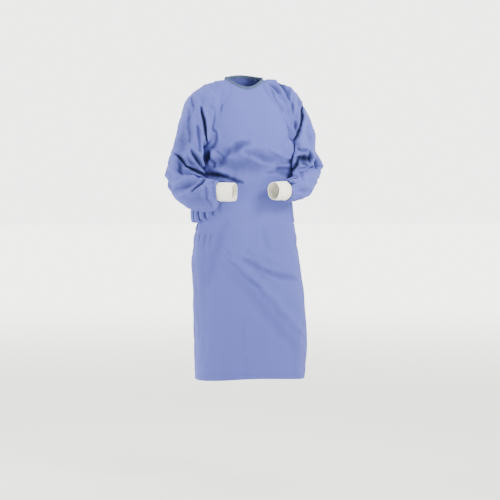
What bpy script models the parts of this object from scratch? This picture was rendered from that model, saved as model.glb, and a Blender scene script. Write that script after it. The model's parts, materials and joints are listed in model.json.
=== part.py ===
"""A surgical gown, in the hollow form it has when it is worn with both forearms held forward.

Units are metres and +Z is up. The front faces -Y, and +X is the wearer's left. The origin is
the middle of the neck opening, at the height of the neck points of the shoulders, where the
wearer carries the gown. Every cut piece is a closed wall of cloth, a seam's gap from its
neighbours. The front and the two backs follow one surface round the body, body_point, and
each sleeve follows rings along the arm, sleeve_point. A sleeve is one cut piece, and it is
drawn as two walls, front and back, which part along its top and under the arm, so that its
collision stays open for the arm.
"""
import math
from bisect import bisect_right
from collections import namedtuple

import bmesh
import bpy
from mathutils import Vector

# ---------------------------------------------------------------- driving dimensions

CLOTH = 0.002            # wall of the body and sleeves
BINDING_WALL = 0.0024
SEAM_GAP = 0.0003

HEM = -1.156
ARMPIT = -0.275
NECK = -0.008            # height of the neck seam beside the neck
SIDE_SEAM = 90.0         # degrees from the centre front
NECK_CORNER = 46.0       # where the raglan seams reach the neck

OUTER_EDGE = 202.0       # free edge of the left back, past centre back
INNER_EDGE = 194.0       # free edge of the right back, measured round its own side
LAP_LIFT = 0.005         # how far the left back stands outside the right one
LAP_START, LAP_FULL = 138.0, 160.0

GATHER_WAVES = 40        # waves of gathered cloth in a full turn round the waist

BINDING_HEIGHT = 0.012

TIE_HEIGHT = -0.572      # middle of the waist ties
TIE_WIDTH = 0.025
TIE_CLOTH = 0.0018
TIE_CLEAR = 0.0009       # air between a tie and the cloth under it
TAIL_LENGTH = 0.27

CUFF_START = Vector((0.129, -0.170, -0.434))
CUFF_END = Vector((0.074, -0.201, -0.434))
RIGHT_CUFF_DOWN = 0.005  # how much lower the right hand is held
CUFF_RADIUS = 0.0345
CUFF_MOUTH_RADIUS = 0.0325
CUFF_WALL = 0.002
CUFF_RIBS = 32
RIB_HEIGHT = 0.0009

SNAP_RADIUS = 0.0055
SNAP_HEIGHT = 0.0022

# Sections of the body from the hem up. Squareness 2 is an ellipse, and more is boxier.
# Front drop and back rise tilt a section, so the neckline is low in front and the hem high.
Level = namedtuple(
    "Level", "height half_width front_depth back_depth shift squareness front_drop back_rise"
)
LEVELS = (
    Level(HEM, 0.213, 0.160, 0.166, 0.024, 2.7, -0.012, 0.0),
    Level(-1.060, 0.2145, 0.159, 0.167, 0.0265, 2.7, -0.004, 0.0),
    Level(-0.990, 0.214, 0.158, 0.168, 0.0265, 2.7, 0.0, 0.0),
    Level(-0.855, 0.2095, 0.153, 0.167, 0.0195, 2.7, 0.0, 0.0),
    Level(-0.710, 0.2005, 0.146, 0.162, 0.0105, 2.6, 0.0, 0.0),
    Level(-0.600, 0.1955, 0.134, 0.142, 0.006, 2.5, 0.0, 0.0),
    Level(-0.545, 0.184, 0.124, 0.122, 0.007, 2.4, 0.0, 0.0),
    Level(-0.500, 0.183, 0.128, 0.128, 0.005, 2.4, 0.0, 0.0),
    Level(-0.455, 0.183, 0.126, 0.133, 0.005, 2.5, 0.0, 0.0),
    Level(-0.400, 0.183, 0.136, 0.135, 0.005, 2.5, 0.0, 0.0),
    Level(-0.350, 0.184, 0.142, 0.132, 0.006, 2.5, 0.0, 0.0),
    Level(-0.290, 0.186, 0.146, 0.130, 0.008, 2.6, 0.0, 0.0),
    Level(-0.240, 0.186, 0.145, 0.129, 0.008, 2.6, 0.002, 0.0),
    Level(-0.190, 0.180, 0.139, 0.127, 0.006, 2.6, 0.008, 0.002),
    Level(-0.130, 0.165, 0.126, 0.121, 0.003, 2.5, 0.018, 0.005),
    Level(-0.080, 0.140, 0.110, 0.110, 0.000, 2.4, 0.029, 0.008),
    Level(-0.040, 0.108, 0.090, 0.092, 0.000, 2.2, 0.037, 0.010),
    Level(NECK, 0.076, 0.069, 0.068, 0.000, 2.1, 0.042, 0.012),
)

# The front raglan seam, as an angle from centre front at each height; the back one mirrors it.
Raglan = namedtuple("Raglan", "height angle")
RAGLAN = (
    Raglan(ARMPIT, SIDE_SEAM),
    Raglan(-0.270, 79.0),
    Raglan(-0.262, 67.0),
    Raglan(-0.250, 58.5),
    Raglan(-0.230, 54.5),
    Raglan(-0.200, 55.0),
    Raglan(-0.160, 53.5),
    Raglan(-0.120, 50.0),
    Raglan(-0.080, 45.0),
    Raglan(-0.040, 42.5),
    Raglan(NECK, NECK_CORNER),
)

# Heights of the rows of the three body panels from the hem up, and which of them are gathered.
Row = namedtuple("Row", "height gathered")
ROWS = (
    Row(HEM, False),
    Row(-1.100, False),
    Row(-1.035, False),
    Row(-0.970, False),
    Row(-0.905, False),
    Row(-0.840, False),
    Row(-0.775, False),
    Row(-0.715, False),
    Row(-0.660, False),
    Row(-0.620, False),
    Row(-0.589, True),
    Row(-0.5588, True),
    Row(-0.5530, True),
    Row(-0.538, True),
    Row(-0.520, True),
    Row(-0.495, True),
    Row(-0.465, False),
    Row(-0.430, False),
    Row(-0.390, False),
    Row(-0.350, False),
    Row(-0.310, False),
    Row(ARMPIT, False),
    Row(-0.270, False),
    Row(-0.262, False),
    Row(-0.250, False),
    Row(-0.230, False),
    Row(-0.200, False),
    Row(-0.170, False),
    Row(-0.140, False),
    Row(-0.110, False),
    Row(-0.080, False),
    Row(-0.045, False),
    Row(NECK, False),
)
COLUMN_STEP = 8.2        # degrees between the columns of a row
COLUMN_MARGIN = 3.4      # least angle from a column to the edge of its panel
FRONT_NECK_COLUMNS, BACK_NECK_COLUMNS, SLEEVE_NECK_COLUMNS = 12, 6, 4

# How the cloth blouses over the ties: its share at each height, and its size round the waist.
Blouse = namedtuple("Blouse", "height swell ripple")
BLOUSE = (
    Blouse(-0.680, 0.0, 0.0),
    Blouse(-0.640, 0.0, 0.15),
    Blouse(-0.605, 0.0, 0.40),
    Blouse(-0.589, 0.0, 0.0),
    Blouse(-0.5588, 0.0, 0.0),
    Blouse(-0.5530, 0.75, 0.8),
    Blouse(-0.538, 1.0, 1.0),
    Blouse(-0.520, 1.0, 1.0),
    Blouse(-0.495, 0.80, 0.8),
    Blouse(-0.465, 0.30, 0.3),
    Blouse(-0.430, 0.0, 0.0),
)
Gather = namedtuple("Gather", "angle swell ripple")
GATHERS = (
    Gather(-180.0, 0.013, 0.0025),
    Gather(-150.0, 0.015, 0.0035),
    Gather(-120.0, 0.020, 0.0045),
    Gather(-90.0, 0.027, 0.0050),
    Gather(-70.0, 0.019, 0.0045),
    Gather(-55.0, 0.008, 0.0025),
    Gather(-42.0, 0.0, 0.0),
    Gather(55.0, 0.0, 0.0),
    Gather(75.0, 0.004, 0.0020),
    Gather(90.0, 0.006, 0.0030),
    Gather(120.0, 0.011, 0.0040),
    Gather(150.0, 0.013, 0.0030),
    Gather(180.0, 0.013, 0.0025),
)

# The largest folds, drawn as lines on a view: across is X from the front or back, and Y from a
# side. Push is how far the cloth moves out along the line, and in where it is negative.
Fold = namedtuple("Fold", "view across height end_across end_height width push")
BODY_FOLDS = (
    Fold("front", -0.130, -0.335, -0.030, -0.262, 0.022, -0.005),
    Fold("front", -0.030, -0.262, 0.090, -0.310, 0.024, -0.004),
    Fold("front", 0.070, -0.270, 0.165, -0.345, 0.020, 0.004),
    Fold("front", -0.085, -0.690, 0.190, -0.985, 0.026, 0.006),
    Fold("front", -0.110, -0.745, 0.120, -1.010, 0.030, -0.004),
    Fold("front", 0.020, -0.690, 0.120, -0.760, 0.020, 0.003),
    Fold("back", 0.120, -0.150, 0.020, -0.330, 0.026, -0.004),
    Fold("back", -0.120, -0.140, -0.040, -0.340, 0.026, -0.004),
    Fold("back", 0.110, -0.680, 0.150, -1.120, 0.034, 0.006),
    Fold("back", -0.110, -0.700, -0.160, -1.120, 0.036, 0.006),
    Fold("back", -0.050, -0.720, -0.070, -1.120, 0.030, -0.005),
    Fold("left", -0.030, -0.640, -0.060, -1.100, 0.034, 0.004),
    Fold("right", 0.010, -0.640, 0.030, -1.100, 0.034, 0.004),
)

# Rings along the left sleeve, by length from the neck. The four radii point out, to the crook
# of the arm, in to the body, and to the elbow. Fullness is loose cloth that hangs in front of
# the armpit. The right sleeve's ring lies further out and lower, and its cloth droops more.
Ring = namedtuple(
    "Ring", "along centre axis out radii fullness right_out right_down right_droop"
)
RINGS = (
    Ring(0.110, (0.185, 0.0, -0.165), (1.0, 0.0, 0.07), (-0.07, 0.0, 1.0),
         (0.123, 0.100, 0.123, 0.094), 0.030, 0.0, 0.0, 0.0),
    Ring(0.165, (0.216, -0.003, -0.200), (0.975, 0.0, -0.222), (0.222, 0.0, 0.975),
         (0.091, 0.092, 0.092, 0.086), 0.052, 0.0, 0.0, 0.0),
    Ring(0.220, (0.231, -0.010, -0.249), (0.853, 0.0, -0.521), (0.521, 0.0, 0.853),
         (0.063, 0.080, 0.064, 0.078), 0.064, 0.0, 0.0, 0.0),
    Ring(0.272, (0.239, -0.020, -0.300), (0.557, 0.0, -0.830), (0.830, 0.0, 0.557),
         (0.049, 0.072, 0.049, 0.078), 0.068, 0.003, 0.0, 0.0),
    Ring(0.320, (0.245, -0.030, -0.338), (0.228, 0.0, -0.973), (0.973, 0.0, 0.228),
         (0.052, 0.060, 0.050, 0.078), 0.066, 0.004, 0.007, 0.0),
    Ring(0.366, (0.240, -0.040, -0.370), (0.0, -0.6, -0.8), (1.0, 0.0, 0.0),
         (0.046, 0.050, 0.048, 0.052), 0.064, 0.018, 0.016, 0.018),
    Ring(0.420, (0.227, -0.083, -0.395), (-0.35, -0.90, -0.25), (0.93, -0.36, 0.0),
         (0.042, 0.046, 0.044, 0.042), 0.046, 0.014, 0.021, 0.020),
    Ring(0.475, (0.197, -0.123, -0.413), (-0.75, -0.65, -0.10), (0.655, -0.755, 0.0),
         (0.046, 0.044, 0.044, 0.041), 0.014, 0.009, 0.018, 0.036),
    Ring(0.520, (0.163, -0.149, -0.425), (-0.86, -0.50, -0.05), (0.50, -0.86, 0.0),
         (0.043, 0.042, 0.040, 0.043), 0.0, 0.002, 0.010, 0.034),
    Ring(0.550, (0.140, -0.1635, -0.433), (-0.86, -0.50, -0.02), (0.50, -0.86, 0.0),
         (0.040, 0.040, 0.039, 0.041), 0.0, 0.0, 0.005, 0.026),
    Ring(0.568, (0.1256, -0.172, -0.434), (-0.86, -0.50, 0.0), (0.50, -0.86, 0.0),
         (0.0385, 0.0385, 0.0385, 0.0385), 0.0, 0.0, 0.005, 0.0),
)
SLEEVE_SQUARENESS = 2.2
SLEEVE_HALVES = {"front": (0.0, 180.0), "back": (180.0, 360.0)}    # angles round the sleeve
FULLNESS_ANGLE, FULLNESS_SPREAD = 135.0, 34.0
FULLNESS_WAY = Vector((-0.50, -0.75, -0.43))
SLEEVE_CLEAR = 0.005     # how far a sleeve keeps from the body beside it
NECK_SPAN = 36.0         # sleeve angle from its top to the raglan corner
SHOULDER_RISE = {"left": 0.010, "right": 0.002}
SHOULDER_SPREAD = 55.0   # degrees round the sleeve's top that rise with the shoulder

# Rows across a sleeve, by length from the neck, with how many columns each is cut in.
SleeveRow = namedtuple("SleeveRow", "along columns")
SLEEVE_ROWS = (
    SleeveRow(0.028, 26),
    SleeveRow(0.062, 24),
    SleeveRow(0.092, 24),
    SleeveRow(0.120, 24),
    SleeveRow(0.146, 24),
    SleeveRow(0.172, 24),
    SleeveRow(0.198, 24),
    SleeveRow(0.224, 24),
    SleeveRow(0.250, 24),
    SleeveRow(0.276, 24),
    SleeveRow(0.300, 24),
    SleeveRow(0.322, 24),
    SleeveRow(0.344, 24),
    SleeveRow(0.366, 24),
    SleeveRow(0.388, 24),
    SleeveRow(0.410, 24),
    SleeveRow(0.434, 24),
    SleeveRow(0.458, 24),
    SleeveRow(0.482, 24),
    SleeveRow(0.508, 28),
    SleeveRow(0.534, 56),
    SleeveRow(0.553, 56),
    SleeveRow(0.568, 56),
)
WRIST_WAVES = 14
WRIST_RIPPLE = 0.0030
WRIST_RIPPLE_START = 0.515

SLEEVE_FOLDS = {
    "left": (
        Fold("front", 0.240, -0.115, 0.185, -0.250, 0.014, -0.008),
        Fold("front", 0.120, -0.030, 0.165, -0.150, 0.014, -0.004),
        Fold("front", 0.160, -0.045, 0.215, -0.140, 0.014, -0.005),
        Fold("front", 0.285, -0.290, 0.190, -0.372, 0.016, -0.008),
        Fold("front", 0.300, -0.337, 0.215, -0.350, 0.016, 0.006),
        Fold("left", 0.050, -0.260, -0.060, -0.350, 0.018, -0.006),
        Fold("left", 0.060, -0.340, -0.060, -0.385, 0.018, 0.005),
        Fold("back", 0.180, -0.090, 0.240, -0.240, 0.018, -0.006),
    ),
    "right": (
        Fold("front", -0.185, -0.115, -0.172, -0.270, 0.014, -0.008),
        Fold("front", -0.250, -0.130, -0.225, -0.260, 0.016, -0.004),
        Fold("front", -0.275, -0.325, -0.190, -0.375, 0.016, -0.008),
        Fold("front", -0.235, -0.430, -0.190, -0.385, 0.016, -0.007),
        Fold("right", 0.050, -0.250, -0.060, -0.350, 0.018, -0.006),
        Fold("right", 0.060, -0.330, -0.060, -0.380, 0.018, 0.005),
        Fold("back", -0.180, -0.090, -0.240, -0.240, 0.018, -0.006),
    ),
}

VIEW_WAYS = {
    "front": Vector((0.0, -1.0, 0.0)),
    "back": Vector((0.0, 1.0, 0.0)),
    "left": Vector((1.0, 0.0, 0.0)),
    "right": Vector((-1.0, 0.0, 0.0)),
}

BLUE_CLOTH = ("gown_cloth", (0.26, 0.31, 0.60), 0.85)
BINDING_CLOTH = ("gown_binding", (0.23, 0.31, 0.50), 0.85)
CUFF_KNIT = ("gown_cuff_knit", (0.82, 0.80, 0.68), 0.90)
SNAP_PLASTIC = ("gown_snap", (0.75, 0.77, 0.80), 0.35)


# ---------------------------------------------------------------- reading the tables

def smooth_step(start, end, value):
    """0 before start, 1 after end, and an even rise between them."""
    share = min(max((value - start) / (end - start), 0.0), 1.0)
    return share * share * (3.0 - 2.0 * share)


def through(keys, values, key):
    """The value at key on a smooth curve through values, which stand at the rising keys."""
    key = min(max(key, keys[0]), keys[-1])
    first = min(max(bisect_right(keys, key) - 1, 0), len(keys) - 2)
    span = keys[first + 1] - keys[first]
    share = (key - keys[first]) / span

    def slope(index):
        before, after = max(index - 1, 0), min(index + 1, len(keys) - 1)
        return (values[after] - values[before]) / (keys[after] - keys[before])

    square, cube = share * share, share ** 3
    return (
        values[first] * (2 * cube - 3 * square + 1)
        + slope(first) * (span * (cube - 2 * square + share))
        + values[first + 1] * (3 * square - 2 * cube)
        + slope(first + 1) * (span * (cube - square))
    )


def read_table(table, key):
    """One row of a table, worked out for a key between its rows."""
    keys = [row[0] for row in table]
    columns = list(zip(*table))
    return type(table[0])(*(through(keys, column, key) for column in columns))


def radius_round(turn, ahead, side, behind, other_side, squareness):
    """Radius of a rounded section at an angle, from its radii at 0, 90, 180 and 270 degrees."""
    along, across = math.cos(turn), math.sin(turn)
    deep = ahead if along > 0 else behind
    wide = side if across > 0 else other_side
    total = abs(along / deep) ** squareness + abs(across / wide) ** squareness
    return total ** (-1.0 / squareness)


def fold_push(folds, point, facing):
    """How far the folds move the cloth out at a point whose cloth faces that way."""
    push = 0.0
    for fold in folds:
        seen = facing.dot(VIEW_WAYS[fold.view])
        if seen <= 0.0:
            continue
        across = point.x if fold.view in ("front", "back") else point.y
        start = Vector((fold.across, fold.height))
        line = Vector((fold.end_across, fold.end_height)) - start
        here = Vector((across, point.z)) - start
        share = min(max(here.dot(line) / line.length_squared, 0.0), 1.0)
        apart = (here - line * share).length / fold.width
        taper = 0.35 + 0.65 * math.sin(math.pi * min(max(share, 0.0), 1.0))
        push += fold.push * taper * math.exp(-apart * apart) * min(seen * 2.0, 1.0)
    return push


# ---------------------------------------------------------------- the body's surface

def body_point(angle, height, lift=0.0):
    """Outer face of the body at an angle from centre front, positive to the wearer's left."""
    level = read_table(LEVELS, height)
    turn = math.radians(angle)
    radius = radius_round(
        turn, level.front_depth, level.half_width, level.back_depth, level.half_width,
        level.squareness,
    )
    if BLOUSE[0].height < height < BLOUSE[-1].height:
        share = read_table(BLOUSE, height)
        size = read_table(GATHERS, (angle + 180.0) % 360.0 - 180.0)
        wave = math.sin(GATHER_WAVES * turn)
        radius += max(share.swell * size.swell, 0.0)
        radius += max(share.ripple * size.ripple, 0.0) * wave
    facing = Vector((math.sin(turn), -math.cos(turn), 0.0))
    tilt = -level.front_drop if math.cos(turn) > 0 else level.back_rise
    point = Vector((level.shift, 0.0, height + tilt * math.cos(turn) ** 2))
    point += facing * (radius + lift)
    return point + facing * fold_push(BODY_FOLDS, point, facing)


def lap_lift(angle):
    """How far the left back stands off the right one at an angle."""
    return LAP_LIFT * smooth_step(LAP_START, LAP_FULL, angle)


def raglan_angle(height):
    return SIDE_SEAM if height <= ARMPIT else read_table(RAGLAN, height).angle


def raglan_measure(steps=80):
    """Heights down the front raglan seam, each with its share of the seam's length."""
    heights = [NECK + (ARMPIT - NECK) * step / steps for step in range(steps + 1)]
    points = [body_point(raglan_angle(height), height) for height in heights]
    lengths = [0.0]
    for before, after in zip(points, points[1:]):
        lengths.append(lengths[-1] + (after - before).length)
    return heights, [length / lengths[-1] for length in lengths]


SEAM_HEIGHTS, SEAM_SHARES = raglan_measure()


def between(keys, values, key):
    """Straight reading between two lists, where keys rise."""
    first = min(max(bisect_right(keys, key) - 1, 0), len(keys) - 2)
    share = (key - keys[first]) / (keys[first + 1] - keys[first])
    return values[first] + (values[first + 1] - values[first]) * min(max(share, 0.0), 1.0)


# ---------------------------------------------------------------- a sleeve's surface

def armhole_place(around):
    """Body angle and height where a sleeve's edge lies, by the angle round the sleeve."""
    turn = min(around, 360.0 - around)
    if turn < NECK_SPAN:
        angle, height = SIDE_SEAM - (SIDE_SEAM - NECK_CORNER) * turn / NECK_SPAN, NECK
    else:
        share = (turn - NECK_SPAN) / (180.0 - NECK_SPAN)
        height = between(SEAM_SHARES, SEAM_HEIGHTS, share)
        angle = raglan_angle(height)
    return (angle, height) if around <= 180.0 else (180.0 - angle, height)


def seam_around(height):
    """The angle round a sleeve of the front raglan seam at a height."""
    rising = [-value for value in SEAM_HEIGHTS]
    share = between(rising, SEAM_SHARES, -height)
    return NECK_SPAN + (180.0 - NECK_SPAN) * share


def ring_point(side, ring, around):
    """A point of a sleeve's ring, and the way the cloth faces there."""
    turn = math.radians(around)
    out, axis = Vector(ring.out).normalized(), Vector(ring.axis).normalized()
    centre, radii = Vector(ring.centre), list(ring.radii)
    if side == "right":
        centre += Vector((ring.right_out, 0.0, -ring.right_down))
        radii[3] += ring.right_droop
    facing = out * math.cos(turn) + axis.cross(out) * math.sin(turn)
    point = centre + facing * radius_round(turn, *radii, SLEEVE_SQUARENESS)
    off = (around - FULLNESS_ANGLE) / FULLNESS_SPREAD
    point += FULLNESS_WAY * (ring.fullness * math.exp(-off * off))
    if side == "right":
        point.x, facing.x = -point.x, -facing.x
    return point, facing


def clear_of_body(point, ease):
    """Moves a sleeve's point out sideways until it is clear of the body beside it."""
    if point.z > ARMPIT + 0.06:
        return point
    level = read_table(LEVELS, point.z)
    flat = Vector((point.x - level.shift, point.y, 0.0))
    turn = math.atan2(flat.x, -flat.y)
    skin = body_point(math.degrees(turn), point.z)
    needed = (skin.xy - Vector((level.shift, 0.0))).length + SLEEVE_CLEAR * ease
    if flat.length >= needed:
        return point
    return point + flat.normalized() * (needed - flat.length)


def sleeve_point(side, around, along):
    """Outer face of a sleeve by the angle round the arm and the length from the neck."""
    around %= 360.0
    sign = 1.0 if side == "left" else -1.0
    angle, height = armhole_place(around)
    start = body_point(sign * angle, height)
    places = [ring_point(side, ring, around) for ring in RINGS]
    keys = [0.0] + [ring.along for ring in RINGS]
    point = through(keys, [start] + [point for point, _ in places], along)
    facing = through(keys, [places[0][1]] + [facing for _, facing in places], along)
    facing = facing.normalized()
    top = min(around, 360.0 - around) / SHOULDER_SPREAD
    rise = SHOULDER_RISE[side] * math.exp(-top * top)
    point.z += rise * smooth_step(0.0, 0.04, along) * (1.0 - smooth_step(0.05, 0.12, along))
    ease = smooth_step(0.0, 0.06, along)
    ripple = WRIST_RIPPLE * smooth_step(WRIST_RIPPLE_START, RINGS[-1].along, along)
    push = ease * fold_push(SLEEVE_FOLDS[side], point, facing)
    push += ripple * (0.5 + 0.5 * math.sin(WRIST_WAVES * math.radians(around)))
    return clear_of_body(point + facing * push, ease)


# ---------------------------------------------------------------- sheets of cloth

class Sheet:
    """The outer face of a cut piece: its points, its triangles and its wall."""

    def __init__(self, name, wall, finish):
        self.name, self.wall, self.finish = name, wall, finish
        self.points, self.faces, self.rows = [], [], []

    def add_row(self, places):
        """Adds a row of (place along the row, point) and laces it to the row before."""
        row = []
        for place, point in places:
            row.append((place, len(self.points)))
            self.points.append(point)
        if self.rows:
            self.faces += lace(self.rows[-1], row)
        self.rows.append(row)


def lace(before, after):
    """Triangles between two rows, taking the nearer next point of either row in turn."""
    faces = []
    first = second = 0
    while first < len(before) - 1 or second < len(after) - 1:
        step_first = second == len(after) - 1 or (
            first < len(before) - 1 and before[first + 1][0] <= after[second + 1][0] + 1e-9
        )
        if step_first:
            faces.append((before[first][1], before[first + 1][1], after[second][1]))
            first += 1
        else:
            faces.append((before[first][1], after[second + 1][1], after[second][1]))
            second += 1
    return faces


def spread(start, end, columns):
    return [start + (end - start) * column / columns for column in range(columns + 1)]


def gather_angles(start, end):
    """Angles of the flats of the gathered waves between two angles, four to a wave."""
    step = 360.0 / GATHER_WAVES / 4.0
    first = math.ceil((start / step) - 0.5)
    last = math.floor((end / step) - 0.5)
    angles = [(index + 0.5) * step for index in range(first, last + 1)]

    def rippled(angle):
        return read_table(GATHERS, (angle + 180.0) % 360.0 - 180.0).ripple > 0.0003

    return [angle for angle in angles if rippled(angle)]


def row_angles(row, start, end, neck_columns):
    """Angles of a row's columns: a grid that all rows share, and a column for each wave."""
    if row.height == NECK:
        return spread(start, end, neck_columns)
    first, last = math.ceil(start / COLUMN_STEP), math.floor(end / COLUMN_STEP)
    plain = [index * COLUMN_STEP for index in range(first, last + 1)]
    waves = []
    if row.gathered:
        room = 360.0 / GATHER_WAVES / 4.0
        waves = gather_angles(start, end)
        plain = [angle for angle in plain if all(abs(angle - wave) > room for wave in waves)]
        waves = [wave for wave in waves if min(wave - start, end - wave) > room * 0.4]
    plain = [angle for angle in plain if min(angle - start, end - angle) > COLUMN_MARGIN]
    return sorted([start, end] + plain + waves)


def body_sheet(name, start_of, end_of, neck_columns, lift_of):
    """A body panel between two edges, as rows from the hem up to the neck."""
    sheet = Sheet(name, CLOTH, BLUE_CLOTH)
    for row in ROWS:
        angles = row_angles(row, start_of(row.height), end_of(row.height), neck_columns)
        sheet.add_row([
            (angle, body_point(angle, row.height, lift_of(angle))) for angle in angles
        ])
    return sheet


def no_lift(_angle):
    return 0.0


def front_sheet():
    return body_sheet(
        "front_panel", lambda height: -raglan_angle(height), raglan_angle,
        FRONT_NECK_COLUMNS, no_lift,
    )


def back_left_sheet():
    return body_sheet(
        "back_panel_left", lambda height: 180.0 - raglan_angle(height),
        lambda height: OUTER_EDGE, BACK_NECK_COLUMNS, lap_lift,
    )


def back_right_sheet():
    return body_sheet(
        "back_panel_right", lambda height: -INNER_EDGE,
        lambda height: raglan_angle(height) - 180.0, BACK_NECK_COLUMNS, no_lift,
    )


def armhole_row(side):
    """The sleeve's edge on the body, with a point at each end of the panels' rows."""
    sign = 1.0 if side == "left" else -1.0
    heights = [row.height for row in reversed(ROWS) if row.height >= ARMPIT]
    neck = spread(SIDE_SEAM, NECK_CORNER, SLEEVE_NECK_COLUMNS)[:-1]
    places = []
    for angle in neck:
        around = NECK_SPAN * (SIDE_SEAM - angle) / (SIDE_SEAM - NECK_CORNER)
        places.append((around, angle, NECK))
    for height in heights:
        places.append((seam_around(height), raglan_angle(height), height))
    mirrored = [(360.0 - around, 180.0 - angle, height) for around, angle, height in places]
    places += mirrored[-2:0:-1]
    return [(around, body_point(sign * angle, height)) for around, angle, height in places]


def sleeve_sheet(side, half):
    """The front or the back wall of a raglan sleeve, from its armhole seam to the cuff."""
    start, end = SLEEVE_HALVES[half]
    sheet = Sheet("sleeve_%s_%s" % (side, half), CLOTH, BLUE_CLOTH)
    edge = armhole_row(side)
    edge.append((360.0, edge[0][1]))
    sheet.add_row([place for place in edge if start - 0.01 < place[0] < end + 0.01])
    for row in SLEEVE_ROWS:
        arounds = spread(start, end, row.columns // 2)
        if row.columns == 4 * WRIST_WAVES:
            flats = [around + 180.0 / row.columns for around in arounds[:-1]]
            arounds = [start] + flats + [end]
        sheet.add_row([(around, sleeve_point(side, around, row.along)) for around in arounds])
    if side == "right":
        sheet.faces = [face[::-1] for face in sheet.faces]
    return sheet


def binding_sheet():
    """The neck's bound edge. It goes on from the cloth's own slope and then stands up."""
    corners = (
        (-INNER_EDGE, BACK_NECK_COLUMNS), (NECK_CORNER - 180.0, SLEEVE_NECK_COLUMNS),
        (-SIDE_SEAM, SLEEVE_NECK_COLUMNS), (-NECK_CORNER, FRONT_NECK_COLUMNS),
        (NECK_CORNER, SLEEVE_NECK_COLUMNS), (SIDE_SEAM, SLEEVE_NECK_COLUMNS),
        (180.0 - NECK_CORNER, BACK_NECK_COLUMNS), (OUTER_EDGE, 0),
    )
    angles = []
    for (start, columns), (end, _) in zip(corners, corners[1:]):
        angles += spread(start, end, columns)[:-1]
    angles.append(OUTER_EDGE)
    sheet = Sheet("neck_binding", BINDING_WALL, BINDING_CLOTH)
    for share in (0.0, 0.4, 1.0):
        row = []
        for angle in angles:
            edge = body_point(angle, NECK, lap_lift(angle))
            below = body_point(angle, NECK - 0.012, lap_lift(angle))
            slope = (edge - below).normalized()
            stand = (slope * (1.0 - 0.5 * share) + Vector((0.0, 0.0, 0.9 * share))).normalized()
            row.append((angle, edge + stand * (BINDING_HEIGHT * share)))
        sheet.add_row(row)
    return sheet


# ---------------------------------------------------------------- walls

def spot(point):
    return tuple(round(value, 6) for value in point)


def shared_normals(sheets):
    """The cloth's outward way at each point, the same for pieces that meet at a seam."""
    normals = {}
    for sheet in sheets:
        for face in sheet.faces:
            first, second, third = (sheet.points[index] for index in face)
            normal = (second - first).cross(third - first)
            for index in face:
                here = spot(sheet.points[index])
                normals[here] = normals.get(here, Vector()) + normal
    return {here: normal.normalized() for here, normal in normals.items()}


def border_edges(faces):
    """Edges that belong to one triangle only, in that triangle's order, with its third corner."""
    edges = {}
    for face in faces:
        for start, end, other in zip(face, face[1:] + face[:1], face[2:] + face[:2]):
            edges[(start, end)] = other
    return [(*edge, other) for edge, other in edges.items() if edge[::-1] not in edges]


def pulled_back(sheet):
    """The points with the sheet's border drawn half a seam gap in from its neighbours."""
    inward = {}
    for start, end, other in border_edges(sheet.faces):
        line = (sheet.points[end] - sheet.points[start]).normalized()
        way = sheet.points[other] - sheet.points[start]
        way = (way - line * way.dot(line)).normalized()
        for index in (start, end):
            inward.setdefault(index, []).append(way)
    points = [point.copy() for point in sheet.points]
    for index, ways in inward.items():
        middle = sum(ways, Vector()).normalized()
        points[index] += middle * (SEAM_GAP * 0.5 / max(middle.dot(ways[0]), 0.4))
    return points


def wall_mesh(sheet, normals):
    """A closed wall: the outer face, the same face moved in, and the edge between them."""
    outer = pulled_back(sheet)
    inner = [
        point - normals[spot(place)] * sheet.wall
        for point, place in zip(outer, sheet.points)
    ]
    model = bmesh.new()
    outer = [model.verts.new(point) for point in outer]
    inner = [model.verts.new(point) for point in inner]
    for first, second, third in sheet.faces:
        model.faces.new((outer[first], outer[second], outer[third]))
        model.faces.new((inner[third], inner[second], inner[first]))
    for start, end, _ in border_edges(sheet.faces):
        model.faces.new((outer[end], outer[start], inner[start], inner[end]))
    bmesh.ops.triangulate(model, faces=[face for face in model.faces if len(face.verts) > 3])
    mesh = bpy.data.meshes.new(sheet.name)
    model.to_mesh(mesh)
    model.free()
    return mesh


# ---------------------------------------------------------------- cuffs

def cuff_rings(side):
    """Frame of a cuff: its middle line and the two ways across it."""
    sign = 1.0 if side == "left" else -1.0
    down = RIGHT_CUFF_DOWN if side == "right" else 0.0
    start = Vector((sign * CUFF_START.x, CUFF_START.y, CUFF_START.z - down))
    end = Vector((sign * CUFF_END.x, CUFF_END.y, CUFF_END.z - down))
    axis = (end - start).normalized()
    across = axis.cross(Vector((0.0, 0.0, 1.0))).normalized()
    return start, end, across, across.cross(axis)


def cuff_mesh(side):
    """A knitted tube with its ribs raised on the outside and a plain inside."""
    start, end, across, up = cuff_rings(side)
    sides = 2 * CUFF_RIBS
    model = bmesh.new()

    def ring(share, radius, ribbed):
        middle = start.lerp(end, share)
        verts = []
        for index in range(sides):
            turn = 2.0 * math.pi * index / sides
            reach = radius + (RIB_HEIGHT if ribbed and index % 2 == 0 else 0.0)
            verts.append(model.verts.new(
                middle + across * (reach * math.cos(turn)) + up * (reach * math.sin(turn))
            ))
        return verts

    rings = [
        ring(0.0, CUFF_RADIUS, False),
        ring(0.12, CUFF_RADIUS, True),
        ring(0.55, CUFF_RADIUS, True),
        ring(1.0, CUFF_MOUTH_RADIUS, True),
        ring(1.0, CUFF_MOUTH_RADIUS - CUFF_WALL, False),
        ring(0.55, CUFF_RADIUS - CUFF_WALL, False),
        ring(0.0, CUFF_RADIUS - CUFF_WALL, False),
    ]
    for before, after in zip(rings, rings[1:] + rings[:1]):
        for index in range(sides):
            after_index = (index + 1) % sides
            model.faces.new(
                (before[index], before[after_index], after[after_index], after[index])
            )
    bmesh.ops.recalc_face_normals(model, faces=model.faces)
    mesh = bpy.data.meshes.new("cuff_" + side)
    model.to_mesh(mesh)
    model.free()
    return mesh


# ---------------------------------------------------------------- ties, knot and snap

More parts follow.
